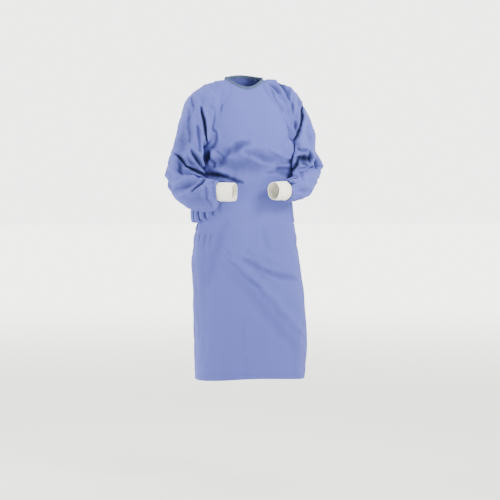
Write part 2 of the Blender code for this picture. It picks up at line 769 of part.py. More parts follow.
def tie_sheet(side):
    """A waist tie: a strap laid on the body from the side seam to the knot."""
    sign = 1.0 if side == "left" else -1.0
    sheet = Sheet("waist_tie_" + side, TIE_CLOTH, BLUE_CLOTH)
    off = TIE_CLEAR + TIE_CLOTH
    angles = spread(sign * (SIDE_SEAM - 3.0), sign * 171.5, 18)
    if side == "right":
        angles.reverse()

    def lift(angle):
        if angle > 0:
            return lap_lift(angle)
        return LAP_LIFT * smooth_step(360.0 - OUTER_EDGE - 12.0, 360.0 - OUTER_EDGE - 1.5, -angle)

    for height in (TIE_HEIGHT - TIE_WIDTH / 2, TIE_HEIGHT + TIE_WIDTH / 2):
        sheet.add_row([
            (angle, body_point(angle, height, lift(angle) + off)) for angle in angles
        ])
    return sheet


def tail_sheet(side):
    """The free end of a tie, hanging from the knot against the left back."""
    sign = 1.0 if side == "left" else -1.0
    sheet = Sheet("tie_tail_" + side, TIE_CLOTH, BLUE_CLOTH)
    top = TIE_HEIGHT - TIE_WIDTH / 2 - 0.0035
    for share in spread(0.0, 1.0, 9):
        height = top - TAIL_LENGTH * share
        middle = 180.0 - sign * (6.3 + 5.0 * share)
        off = TIE_CLEAR + TIE_CLOTH + 0.004 * (1.0 - smooth_step(0.0, 0.3, share))
        half = math.degrees(TIE_WIDTH / 2 / 0.140)
        sheet.add_row([
            (place, body_point(middle + place * half, height, LAP_LIFT + off))
            for place in (-1.0, 0.0, 1.0)
        ])
    sheet.faces = [face[::-1] for face in sheet.faces]
    return sheet


def knot_object():
    """The knot, as a soft lump between the ties."""
    seat = body_point(180.0, TIE_HEIGHT - TIE_WIDTH / 2, LAP_LIFT)
    bpy.ops.mesh.primitive_uv_sphere_add(segments=14, ring_count=8, radius=1.0)
    knot = bpy.context.object
    knot.name = "waist_knot"
    knot.location = Vector((seat.x, seat.y + 0.0100, TIE_HEIGHT - 0.001))
    knot.scale = (0.0172, 0.0088, 0.0130)
    bpy.ops.object.transform_apply(location=False, rotation=False, scale=True)
    return knot


def snap_object():
    """The snap that closes the lapped back neck."""
    height, angle = -0.030, 186.0
    seat = body_point(angle, height, LAP_LIFT)
    beside = body_point(angle + 2.0, height, LAP_LIFT) - seat
    above = body_point(angle, height + 0.006, LAP_LIFT) - seat
    out = beside.cross(above).normalized()
    bpy.ops.mesh.primitive_cylinder_add(vertices=20, radius=SNAP_RADIUS, depth=SNAP_HEIGHT)
    snap = bpy.context.object
    snap.name = "neck_snap"
    snap.rotation_mode = "QUATERNION"
    snap.rotation_quaternion = out.to_track_quat("Z", "Y")
    snap.location = seat + out * (SNAP_HEIGHT / 2 + 0.0008)
    bevel = snap.modifiers.new("rounded_rim", "BEVEL")
    bevel.width = 0.0005
    bevel.segments = 2
    return snap


# ---------------------------------------------------------------- objects and materials

def finish_material(finish):
    name, colour, roughness = finish
    material = bpy.data.materials.get(name)
    if material is None:
        material = bpy.data.materials.new(name)
        material.use_nodes = True
        shader = material.node_tree.nodes["Principled BSDF"]
        shader.inputs["Base Color"].default_value = (*colour, 1.0)
        shader.inputs["Roughness"].default_value = roughness
        shader.inputs["Metallic"].default_value = 0.0
    return material


def place_object(collection, gown, piece, finish):
    for holder in list(piece.users_collection):
        holder.objects.unlink(piece)
    collection.objects.link(piece)
    piece.parent = gown
    piece.data.materials.clear()
    piece.data.materials.append(finish_material(finish))
    piece.data.shade_smooth()
    piece.data.set_sharp_from_angle(angle=math.radians(50.0))


def build():
    for item in list(bpy.data.objects):
        bpy.data.objects.remove(item, do_unlink=True)
    collection = bpy.data.collections.new("surgical_gown")
    bpy.context.scene.collection.children.link(collection)
    gown = bpy.data.objects.new("gown_origin", None)
    collection.objects.link(gown)

    sewn = [
        front_sheet(), back_left_sheet(), back_right_sheet(),
        *(sleeve_sheet(side, half) for side in ("left", "right") for half in SLEEVE_HALVES),
        binding_sheet(),
    ]
    laid_on = [
        tie_sheet("left"), tie_sheet("right"), tail_sheet("left"), tail_sheet("right"),
    ]
    for group in [sewn] + [[sheet] for sheet in laid_on]:
        normals = shared_normals(group)
        for sheet in group:
            piece = bpy.data.objects.new(sheet.name, wall_mesh(sheet, normals))
            place_object(collection, gown, piece, sheet.finish)
    for side in ("left", "right"):
        piece = bpy.data.objects.new("cuff_" + side, cuff_mesh(side))
        place_object(collection, gown, piece, CUFF_KNIT)
    place_object(collection, gown, knot_object(), BLUE_CLOTH)
    place_object(collection, gown, snap_object(), SNAP_PLASTIC)


build()
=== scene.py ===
# %% [markdown]
# # A surgical gown in the form it has when it is worn
# The gown hangs from the shoulders of a wearer who isn't there, with both forearms held forward
# and the hands together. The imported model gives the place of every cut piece. Each one is drawn
# here again on the same surface as its solid, in steps of a few millimetres, so that creases,
# hems, gathers and stitches can show. The front faces -Y and +X is the wearer's left.

# %% Start
import json
import math
from collections import namedtuple

import bpy
import numpy as np
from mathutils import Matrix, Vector
from mathutils.kdtree import KDTree

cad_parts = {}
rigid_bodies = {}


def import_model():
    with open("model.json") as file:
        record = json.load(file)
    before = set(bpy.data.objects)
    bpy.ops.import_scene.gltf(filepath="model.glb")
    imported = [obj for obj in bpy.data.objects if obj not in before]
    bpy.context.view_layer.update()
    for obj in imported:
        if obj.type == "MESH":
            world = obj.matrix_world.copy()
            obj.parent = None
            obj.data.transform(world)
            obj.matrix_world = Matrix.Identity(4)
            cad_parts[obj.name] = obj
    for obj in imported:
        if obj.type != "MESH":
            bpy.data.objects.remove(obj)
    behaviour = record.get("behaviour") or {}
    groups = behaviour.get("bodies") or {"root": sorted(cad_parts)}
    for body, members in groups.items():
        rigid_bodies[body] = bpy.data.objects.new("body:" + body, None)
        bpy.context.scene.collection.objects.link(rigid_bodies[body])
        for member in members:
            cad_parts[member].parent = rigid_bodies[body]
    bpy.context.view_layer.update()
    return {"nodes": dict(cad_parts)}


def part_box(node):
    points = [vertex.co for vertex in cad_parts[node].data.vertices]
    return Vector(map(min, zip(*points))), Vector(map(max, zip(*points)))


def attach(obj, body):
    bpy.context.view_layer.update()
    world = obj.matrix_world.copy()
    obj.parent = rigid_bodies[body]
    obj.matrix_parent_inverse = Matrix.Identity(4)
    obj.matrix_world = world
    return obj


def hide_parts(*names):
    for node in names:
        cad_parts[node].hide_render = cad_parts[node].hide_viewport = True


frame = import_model()
print("pieces in the frame:", ", ".join(sorted(frame["nodes"])))

# %% [markdown]
# ## Measures
# A gown is cut from a few measures: its length, the depth of the armholes, where the raglan
# seams reach the neck and how far the backs lap. They could be read off the solids, but the
# named measures that place the solids are shorter, so they are used again here, and a piece
# that is drawn from them lies on its solid. Heights are below the neck points, in metres.
# Angles go round the body from the centre front, in degrees, positive to the wearer's left.

# %% Measures
HEM = -1.156
ARMPIT = -0.275
NECK = -0.008
TIE_HEIGHT = -0.572
SIDE_SEAM = 90.0
NECK_CORNER = 46.0       # where the raglan seams reach the neck
OUTER_EDGE = 202.0       # free edge of the left back, past centre back
INNER_EDGE = 194.0       # free edge of the right back, round its own side
print("neck to hem %.3f m, the backs lap by %.0f degrees"
      % (NECK - HEM, OUTER_EDGE + INNER_EDGE - 360.0))

# %% [markdown]
# ## Girth of the body
# A dressmaker measures a figure at a dozen heights. A level gives half the gown's width, its
# depth in front and behind, and how square it is: 2 is an ellipse, and more is boxier, as a
# gown is over a chest and hips. Shift moves a level sideways. Drop and rise tilt it, which
# lowers the neck in front and lifts it behind.

# %% Levels of the body
Level = namedtuple(
    "Level", "height half_width front_depth back_depth shift squareness front_drop back_rise"
)
LEVELS = (
    Level(HEM, 0.213, 0.160, 0.166, 0.024, 2.7, -0.012, 0.0),
    Level(-1.060, 0.2145, 0.159, 0.167, 0.0265, 2.7, -0.004, 0.0),
    Level(-0.990, 0.214, 0.158, 0.168, 0.0265, 2.7, 0.0, 0.0),
    Level(-0.855, 0.2095, 0.153, 0.167, 0.0195, 2.7, 0.0, 0.0),
    Level(-0.710, 0.2005, 0.146, 0.162, 0.0105, 2.6, 0.0, 0.0),
    Level(-0.600, 0.1955, 0.134, 0.142, 0.006, 2.5, 0.0, 0.0),
    Level(-0.545, 0.184, 0.124, 0.122, 0.007, 2.4, 0.0, 0.0),
    Level(-0.500, 0.183, 0.128, 0.128, 0.005, 2.4, 0.0, 0.0),
    Level(-0.455, 0.183, 0.126, 0.133, 0.005, 2.5, 0.0, 0.0),
    Level(-0.400, 0.183, 0.136, 0.135, 0.005, 2.5, 0.0, 0.0),
    Level(-0.350, 0.184, 0.142, 0.132, 0.006, 2.5, 0.0, 0.0),
    Level(-0.290, 0.186, 0.146, 0.130, 0.008, 2.6, 0.0, 0.0),
    Level(-0.240, 0.186, 0.145, 0.129, 0.008, 2.6, 0.002, 0.0),
    Level(-0.190, 0.180, 0.139, 0.127, 0.006, 2.6, 0.008, 0.002),
    Level(-0.130, 0.165, 0.126, 0.121, 0.003, 2.5, 0.018, 0.005),
    Level(-0.080, 0.140, 0.110, 0.110, 0.000, 2.4, 0.029, 0.008),
    Level(-0.040, 0.108, 0.090, 0.092, 0.000, 2.2, 0.037, 0.010),
    Level(NECK, 0.076, 0.069, 0.068, 0.000, 2.1, 0.042, 0.012),
)
print("levels of the body:", len(LEVELS))

# %% [markdown]
# ## Raglan seams and the drawn-in waist
# On the pattern a raglan seam is a slanted edge. On the body it is an angle for each height.
# Above the ties the cloth blouses out. How far it swells, and how high its lobes stand, is the
# product of two tables: one says how that changes with the height, the other how it changes
# round the body. The blouse is fullest at the wearer's right.

# %% Raglan seams, blouse and gathers
Raglan = namedtuple("Raglan", "height angle")
RAGLAN = (
    Raglan(ARMPIT, SIDE_SEAM),
    Raglan(-0.270, 79.0),
    Raglan(-0.262, 67.0),
    Raglan(-0.250, 58.5),
    Raglan(-0.230, 54.5),
    Raglan(-0.200, 55.0),
    Raglan(-0.160, 53.5),
    Raglan(-0.120, 50.0),
    Raglan(-0.080, 45.0),
    Raglan(-0.040, 42.5),
    Raglan(NECK, NECK_CORNER),
)
Blouse = namedtuple("Blouse", "height swell ripple")
BLOUSE = (
    Blouse(-0.680, 0.0, 0.0),
    Blouse(-0.640, 0.0, 0.15),
    Blouse(-0.605, 0.0, 0.40),
    Blouse(-0.589, 0.0, 0.0),
    Blouse(-0.5588, 0.0, 0.0),
    Blouse(-0.5530, 0.75, 0.8),
    Blouse(-0.538, 1.0, 1.0),
    Blouse(-0.520, 1.0, 1.0),
    Blouse(-0.495, 0.80, 0.8),
    Blouse(-0.465, 0.30, 0.3),
    Blouse(-0.430, 0.0, 0.0),
)
Gather = namedtuple("Gather", "angle swell ripple")
GATHERS = (
    Gather(-180.0, 0.013, 0.0025),
    Gather(-150.0, 0.015, 0.0035),
    Gather(-120.0, 0.020, 0.0045),
    Gather(-90.0, 0.027, 0.0050),
    Gather(-70.0, 0.019, 0.0045),
    Gather(-55.0, 0.008, 0.0025),
    Gather(-42.0, 0.0, 0.0),
    Gather(55.0, 0.0, 0.0),
    Gather(75.0, 0.004, 0.0020),
    Gather(90.0, 0.006, 0.0030),
    Gather(120.0, 0.011, 0.0040),
    Gather(150.0, 0.013, 0.0030),
    Gather(180.0, 0.013, 0.0025),
)
print("raglan seam from %.0f to %.0f degrees" % (RAGLAN[0].angle, RAGLAN[-1].angle))

# %% [markdown]
# ## Rings of a sleeve
# A sleeve on a bent arm is easiest to describe by rings across the arm: where the middle is,
# which way the arm runs, which way is up on the ring, and how far the cloth stands off above,
# in front, below and behind. Fullness is the cloth that hangs free before the armpit and under
# the forearm. The rings are the left arm's. The last three columns move the right arm's out
# and down and let it droop.

# %% Rings of a sleeve
Ring = namedtuple(
    "Ring", "along centre axis out radii fullness right_out right_down right_droop"
)
RINGS = (
    Ring(0.110, (0.185, 0.0, -0.165), (1.0, 0.0, 0.07), (-0.07, 0.0, 1.0),
         (0.123, 0.100, 0.123, 0.094), 0.030, 0.0, 0.0, 0.0),
    Ring(0.165, (0.216, -0.003, -0.200), (0.975, 0.0, -0.222), (0.222, 0.0, 0.975),
         (0.091, 0.092, 0.092, 0.086), 0.052, 0.0, 0.0, 0.0),
    Ring(0.220, (0.231, -0.010, -0.249), (0.853, 0.0, -0.521), (0.521, 0.0, 0.853),
         (0.063, 0.080, 0.064, 0.078), 0.064, 0.0, 0.0, 0.0),
    Ring(0.272, (0.239, -0.020, -0.300), (0.557, 0.0, -0.830), (0.830, 0.0, 0.557),
         (0.049, 0.072, 0.049, 0.078), 0.068, 0.003, 0.0, 0.0),
    Ring(0.320, (0.245, -0.030, -0.338), (0.228, 0.0, -0.973), (0.973, 0.0, 0.228),
         (0.052, 0.060, 0.050, 0.078), 0.066, 0.004, 0.007, 0.0),
    Ring(0.366, (0.240, -0.040, -0.370), (0.0, -0.6, -0.8), (1.0, 0.0, 0.0),
         (0.046, 0.050, 0.048, 0.052), 0.064, 0.018, 0.016, 0.018),
    Ring(0.420, (0.227, -0.083, -0.395), (-0.35, -0.90, -0.25), (0.93, -0.36, 0.0),
         (0.042, 0.046, 0.044, 0.042), 0.046, 0.014, 0.021, 0.020),
    Ring(0.475, (0.197, -0.123, -0.413), (-0.75, -0.65, -0.10), (0.655, -0.755, 0.0),
         (0.046, 0.044, 0.044, 0.041), 0.014, 0.009, 0.018, 0.036),
    Ring(0.520, (0.163, -0.149, -0.425), (-0.86, -0.50, -0.05), (0.50, -0.86, 0.0),
         (0.043, 0.042, 0.040, 0.043), 0.0, 0.002, 0.010, 0.034),
    Ring(0.550, (0.140, -0.1635, -0.433), (-0.86, -0.50, -0.02), (0.50, -0.86, 0.0),
         (0.040, 0.040, 0.039, 0.041), 0.0, 0.0, 0.005, 0.026),
    Ring(0.568, (0.1256, -0.172, -0.434), (-0.86, -0.50, 0.0), (0.50, -0.86, 0.0),
         (0.0385, 0.0385, 0.0385, 0.0385), 0.0, 0.0, 0.005, 0.0),
)
SLEEVE_LENGTH = RINGS[-1].along
print("sleeve from the neck seam: %.3f m" % SLEEVE_LENGTH)

# %% [markdown]
# ## Reading a table at many places at once
# A pattern maker draws a smooth line through a few measured marks. through() does that for
# whole arrays, with the same cubic curve that shapes the solids, so thousands of points cost no
# more than one line of code.

# %% Smooth tables


def smooth_step(start, end, value):
    """0 before start, 1 after end, and an even rise between them."""
    share = np.clip((value - start) / (end - start), 0.0, 1.0)
    return share * share * (3.0 - 2.0 * share)


def through(keys, values, key):
    """Values at an array of keys, on a smooth curve through values that stand at rising keys."""
    keys, values = np.asarray(keys, float), np.asarray(values, float)
    key = np.clip(np.asarray(key, float), keys[0], keys[-1])
    first = np.clip(np.searchsorted(keys, key, side="right") - 1, 0, len(keys) - 2)
    number = np.arange(len(keys))
    before, after = np.maximum(number - 1, 0), np.minimum(number + 1, len(keys) - 1)
    stretch = (keys[after] - keys[before]).reshape((-1,) + (1,) * (values.ndim - 1))
    slopes = (values[after] - values[before]) / stretch
    span = keys[first + 1] - keys[first]
    share = (key - keys[first]) / span
    square, cube = share ** 2, share ** 3
    weights = (
        2 * cube - 3 * square + 1, span * (cube - 2 * square + share),
        3 * square - 2 * cube, span * (cube - square),
    )
    shape = share.shape + (1,) * (values.ndim - 1)
    start, leave, end, arrive = (weight.reshape(shape) for weight in weights)
    return (
        values[first] * start + slopes[first] * leave
        + values[first + 1] * end + slopes[first + 1] * arrive
    )


def read(table, column, key):
    """One column of a table at an array of keys. The table's first column holds the keys."""
    return through([row[0] for row in table], [getattr(row, column) for row in table], key)


print("half width at the armpit: %.4f m" % read(LEVELS, "half_width", ARMPIT))

# %% [markdown]
# ## Points and uneven waves
# No cloth is even. rumple() adds up a few sine waves that run in random directions, drawn with
# a fixed seed, so each run gives the same cloth. It works on places in space, so two pieces
# that meet at a seam move together there, which a wave along each piece's own grid wouldn't do.

# %% Points and uneven waves
Waves = namedtuple("Waves", "height length seed stretch", defaults=((1.0, 1.0, 1.0),))
WAVE_COUNT = 10
WAVE_SHORTEST, WAVE_LONGEST = 0.75, 1.6    # shares of the waves' length


def joined(*parts):
    """Arrays with one coordinate each, as one array of points."""
    return np.stack(np.broadcast_arrays(*parts), axis=-1).astype(float)


def unit(vector):
    return vector / np.maximum(np.linalg.norm(vector, axis=-1, keepdims=True), 1e-9)


def rumple(points, waves):
    """Smooth uneven waves in space, mostly within their height, the same on every run."""
    maker = np.random.default_rng(waves.seed)
    ways = unit(maker.normal(size=(WAVE_COUNT, 3))) / np.asarray(waves.stretch)
    lengths = waves.length * maker.uniform(WAVE_SHORTEST, WAVE_LONGEST, WAVE_COUNT)
    ways *= (2.0 * math.pi / lengths)[:, None]
    shifts = maker.uniform(0.0, 2.0 * math.pi, WAVE_COUNT)
    sines = np.sin(points @ ways.T + shifts).sum(axis=-1)
    return waves.height * 1.1 / math.sqrt(WAVE_COUNT) * sines


print("waves at the origin: %.3f" % rumple(np.zeros(3), Waves(1.0, 0.1, 1)))

# %% [markdown]
# ## Gathers over the ties
# The ties draw the cloth in, so it stands in rounded lobes with narrow valleys between them. A
# sine's absolute value has that form: round on top and sharp below. Two slow waves shift the
# lobes, so no two are alike. Towards the middle of the front the blouse hangs less low.

# %% Gathers over the ties
GATHER_WAVES = 40
LOBE_HEIGHT, LOBE_SINK = 2.0, 1.25      # the sink brings the lobes' mean back to the body
LOBE_START = math.pi / 4
# slow waves that shift the lobes: how far, waves round the body, start, and change with height
LOBE_SHIFTS = ((0.25, 7.0, 1.0, 0.0), (0.20, 13.0, 2.0, 30.0))
BLOUSE_FOOT = TIE_HEIGHT + 0.014
BLOUSE_RISE, RISE_RIGHT, RISE_MIDDLE = 0.036, (-83.0, -42.0), (0.0, -20.0)
SCALLOP, SCALLOP_START, SCALLOP_FADE = 0.0022, 1.5, (-20.0, -60.0)


def signed(angle):
    """The same angle between -180 and 180 degrees."""
    return (angle + 180.0) % 360.0 - 180.0


def in_blouse(height):
    return (height > BLOUSE[0].height) & (height < BLOUSE[-1].height)


def gather_lobes(angle, height):
    """Rounded lobes with narrow valleys round the waist, in metres out from the body."""
    turn = np.radians(angle)
    ripple = read(BLOUSE, "ripple", height) * read(GATHERS, "ripple", signed(angle))
    uneven = sum(
        size * np.sin(count * turn + start + change * height)
        for size, count, start, change in LOBE_SHIFTS
    )
    waves = np.abs(np.sin(0.5 * GATHER_WAVES * turn + LOBE_START + uneven))
    return in_blouse(height) * np.maximum(ripple, 0.0) * (LOBE_HEIGHT * waves - LOBE_SINK)


def blouse_height(angle, height):
    """Height read in BLOUSE. The cloth hangs lowest at the right side, less towards the middle."""
    around = signed(angle)
    rise = BLOUSE_RISE * smooth_step(*RISE_RIGHT, around) * smooth_step(*RISE_MIDDLE, around)
    scallop = np.sin(0.5 * GATHER_WAVES * np.radians(angle) + SCALLOP_START)
    scallop = SCALLOP * scallop * smooth_step(*SCALLOP_FADE, around)
    return height - (rise + scallop) * (height > BLOUSE_FOOT)


print("lobe at the right side: %.4f m" % gather_lobes(-SIDE_SEAM, -0.53))

# %% [markdown]
# ## The body's surface
# Front and backs lie on one surface round the trunk. Each point stands on its level's rounded
# box, and the blouse and the gathers move it out. The panels are cut out of this surface along
# their seams, so they meet without a gap and without being sewn together.

# %% The body's surface


def body_surface(angle, height, lift=0.0):
    """Points of the body at angles from centre front and heights, and how the cloth faces."""
    angle, height, lift = (
        part.astype(float) for part in np.broadcast_arrays(angle, height, lift)
    )
    turn = np.radians(angle)
    ahead, aside = np.cos(turn), np.sin(turn)
    depth = np.where(
        ahead > 0, read(LEVELS, "front_depth", height), read(LEVELS, "back_depth", height)
    )
    power = read(LEVELS, "squareness", height)
    half_width = read(LEVELS, "half_width", height)
    total = np.abs(ahead / depth) ** power + np.abs(aside / half_width) ** power
    radius = total ** (-1.0 / power)
    level = blouse_height(angle, height)
    swell = read(BLOUSE, "swell", level) * read(GATHERS, "swell", signed(angle))
    radius = radius + in_blouse(height) * np.maximum(swell, 0.0) + gather_lobes(angle, level)
    facing = joined(aside, -ahead, 0.0)
    tilt = np.where(
        ahead > 0, -read(LEVELS, "front_drop", height), read(LEVELS, "back_rise", height)
    )
    centre = joined(read(LEVELS, "shift", height), 0.0, height + tilt * ahead ** 2)
    return centre + facing * (radius + lift)[..., None], facing


hem_points, _ = body_surface(np.arange(361.0), HEM)
print("hem: %.3f m round" % np.linalg.norm(np.diff(hem_points, axis=0), axis=1).sum())

# %% [markdown]
# ## The lap and the raglan seams
# The left back lies over the right one, so it is lifted off the body towards its edge. The
# raglan seams are followed in even steps, because a sleeve's edge is spread evenly along them.

# %% The lap and the raglan seams
LAP_LIFT, LAP_START, LAP_FULL = 0.005, 138.0, 160.0


def lap_lift(angle):
    """How far the left back stands off the right one at an angle."""
    return LAP_LIFT * smooth_step(LAP_START, LAP_FULL, np.asarray(angle, float))


def raglan_angle(height):
    height = np.asarray(height, float)
    return np.where(height <= ARMPIT, SIDE_SEAM, read(RAGLAN, "angle", height))


SEAM_HEIGHTS = np.linspace(NECK, ARMPIT, 400)
seam_points, _ = body_surface(raglan_angle(SEAM_HEIGHTS), SEAM_HEIGHTS)
seam_steps = np.linalg.norm(np.diff(seam_points, axis=0), axis=1)
SEAM_SHARES = np.concatenate(([0.0], np.cumsum(seam_steps))) / seam_steps.sum()
print("front raglan seam: %.3f m" % seam_steps.sum())

# %% [markdown]
# ## The sleeves' surface
# A raglan sleeve starts on the two raglan seams and the neck, and is led over rings round the
# arm. The cloth that is too much for the bent arm hangs in front of the armpit as a web, and
# under the forearm as a bag.

# %% A sleeve's edge and its rings
SLEEVE_SQUARENESS = 2.2
NECK_SPAN = 36.0         # degrees round the sleeve, each way from its top, that lie on the neck
FULLNESS_ANGLE, FULLNESS_SPREAD = 135.0, 34.0
FULLNESS_WAY = np.array((-0.50, -0.75, -0.43))
WEB = {"left": 1.18, "right": 1.0}    # the left sleeve's loose cloth reaches over the body
SIGN = {"left": 1.0, "right": -1.0}


def armhole_place(around):
    """Body angles and heights of the sleeve's edge, by the angle round the sleeve."""
    turn = np.minimum(around, 360.0 - around)
    share = (turn - NECK_SPAN) / (180.0 - NECK_SPAN)
    seam_height = np.interp(share, SEAM_SHARES, SEAM_HEIGHTS)
    at_neck = turn < NECK_SPAN
    height = np.where(at_neck, NECK, seam_height)
    neck_angle = SIDE_SEAM - (SIDE_SEAM - NECK_CORNER) * turn / NECK_SPAN
    angle = np.where(at_neck, neck_angle, raglan_angle(height))
    return np.where(around <= 180.0, angle, 180.0 - angle), height


def ring_surface(side, ring, around):
    """A sleeve's ring at angles round the arm, and the way the cloth faces there."""
    turn = np.radians(around)[:, None]
    out, axis = unit(np.array(ring.out)), unit(np.array(ring.axis))
    centre, radii = np.array(ring.centre), list(ring.radii)
    if side == "right":
        centre = centre + (ring.right_out, 0.0, -ring.right_down)
        radii[3] += ring.right_droop
    up, across = np.cos(turn), np.sin(turn)
    deep = np.where(up > 0, radii[0], radii[2])
    wide = np.where(across > 0, radii[1], radii[3])
    total = np.abs(up / deep) ** SLEEVE_SQUARENESS + np.abs(across / wide) ** SLEEVE_SQUARENESS
    facing = out * up + np.cross(axis, out) * across
    points = centre + facing * total ** (-1.0 / SLEEVE_SQUARENESS)
    off = (around[:, None] - FULLNESS_ANGLE) / FULLNESS_SPREAD
    points = points + FULLNESS_WAY * (WEB[side] * ring.fullness * np.exp(-off ** 2))
    mirror = np.array((-1.0 if side == "right" else 1.0, 1.0, 1.0))
    return points * mirror, facing * mirror


print("edge of a sleeve under the arm: %.0f degrees, %.3f m"
      % tuple(value[0] for value in armhole_place(np.array((180.0,)))))

# %% [markdown]
# ## The whole sleeve
# A smooth line through all the rings makes the sleeve. The cloth rises a little over the top of
# the shoulder, and the wrist is gathered into its cuff in uneven pleats.

# %% The whole sleeve
SHOULDER_RISE = {"left": 0.010, "right": 0.002}
SHOULDER_SPREAD = 55.0
SHOULDER_START, SHOULDER_END = (0.0, 0.022), (0.03, 0.11)     # lengths along the sleeve
WRIST_WAVES, WRIST_RIPPLE, WRIST_RIPPLE_START = 14, 0.0030, 0.515
PLEAT_SHIFT, PLEAT_SHIFT_WAVES, PLEAT_SHIFT_START = 0.7, 3.0, 1.0
PLEAT_ROUNDNESS = 0.8


def sleeve_surface(side, around, along):
    """A grid of sleeve points, one row for each length along and one column for each angle."""
    angle, height = armhole_place(around)
    start, start_facing = body_surface(SIGN[side] * angle, height)
    rings = [ring_surface(side, ring, around) for ring in RINGS]
    keys = [0.0] + [ring.along for ring in RINGS]
    points = through(keys, np.stack([start] + [ring[0] for ring in rings]), along)
    facing = unit(through(keys, np.stack([start_facing] + [ring[1] for ring in rings]), along))
    top = np.minimum(around, 360.0 - around) / SHOULDER_SPREAD
    rise = SHOULDER_RISE[side] * np.exp(-top ** 2)
    rising = smooth_step(*SHOULDER_START, along) * (1.0 - smooth_step(*SHOULDER_END, along))
    points[..., 2] += rise[None, :] * rising[:, None]
    uneven = PLEAT_SHIFT * np.sin(np.radians(PLEAT_SHIFT_WAVES * around) + PLEAT_SHIFT_START)
    turn = 0.5 * WRIST_WAVES * np.radians(around) + LOBE_START
    pleats = np.abs(np.sin(turn + uneven)) ** PLEAT_ROUNDNESS
    ripple = WRIST_RIPPLE * smooth_step(WRIST_RIPPLE_START, SLEEVE_LENGTH, along)
    points += facing * (ripple[:, None] * pleats[None, :])[..., None]
    return points, facing


for side in ("left", "right"):
    test_points, _ = sleeve_surface(side, np.linspace(0, 350, 36), np.array([0.0, 0.3, 0.56]))
    print(side, "sleeve girth at half arm: %.3f m" % (
        np.linalg.norm(np.diff(test_points[1], axis=0), axis=1).sum() * 36 / 35))

# %% [markdown]
# ## Views for the creases
# A crease is placed most easily where it is seen, so it is drawn as a line on a view of the
# gown. The front view is the one of a standing viewer who is a little to the wearer's right,
# and it is the camera's too. The others are straight views, with X or Y across.

# %% Views
VIEW_TARGET = Vector((0.0226, -0.0044, -0.662))
VIEW_AZIMUTH, VIEW_ELEVATION, VIEW_DISTANCE = math.radians(-11.0), math.radians(1.9), 6.0
VIEW_BACK = Vector((
    math.sin(VIEW_AZIMUTH) * math.cos(VIEW_ELEVATION),
    -math.cos(VIEW_AZIMUTH) * math.cos(VIEW_ELEVATION),
    math.sin(VIEW_ELEVATION),
))
VIEW_RIGHT = Vector((math.cos(VIEW_AZIMUTH), math.sin(VIEW_AZIMUTH), 0.0))
VIEW_UP = VIEW_BACK.cross(VIEW_RIGHT)
NECK_MIDDLE_ACROSS = 0.0231     # the target's place across, seen from the middle of the neck
STRAIGHT_VIEWS = {
    "back": (0, np.array((0.0, 1.0, 0.0))),
    "left": (1, np.array((1.0, 0.0, 0.0))),
    "right": (1, np.array((-1.0, 0.0, 0.0))),
}


def seen(view, points, facing):
    """Where points are seen in a view, across and up, and how far they face the viewer."""
    if view != "front":
        column, way = STRAIGHT_VIEWS[view]
        return points[..., column], points[..., 2], facing @ way
    apart = points - np.array(VIEW_TARGET)
    scale = VIEW_DISTANCE / (VIEW_DISTANCE - apart @ np.array(VIEW_BACK))
    across = NECK_MIDDLE_ACROSS + apart @ np.array(VIEW_RIGHT) * scale
    up = VIEW_TARGET.z + apart @ np.array(VIEW_UP) * scale
    return across, up, facing @ np.array(VIEW_BACK)


print("front view from", [round(v, 2) for v in VIEW_TARGET + VIEW_BACK * VIEW_DISTANCE])

# %% [markdown]
# ## Creases of the front
# Cloth creases where it is pulled or pushed together: below the armpit, beside the bent arms
# and across the skirt from a hip. Each row is one crease, from its start to its end on the
# view. Push is how far the cloth goes out, or in where it is negative. Crisp makes a soft
# trough a sharp one, bow bends the line, and lean makes one side steeper. A cloth simulation
# would make creases too, but not in the places where this gown has them.

# %% Creases of the front
Crease = namedtuple(
    "Crease", "view across height end_across end_height width push crisp bow lean",
    defaults=(0.0, 0.0, 1.0),
)


def creases(view, *rows):
    return tuple(Crease(view, *row) for row in rows)


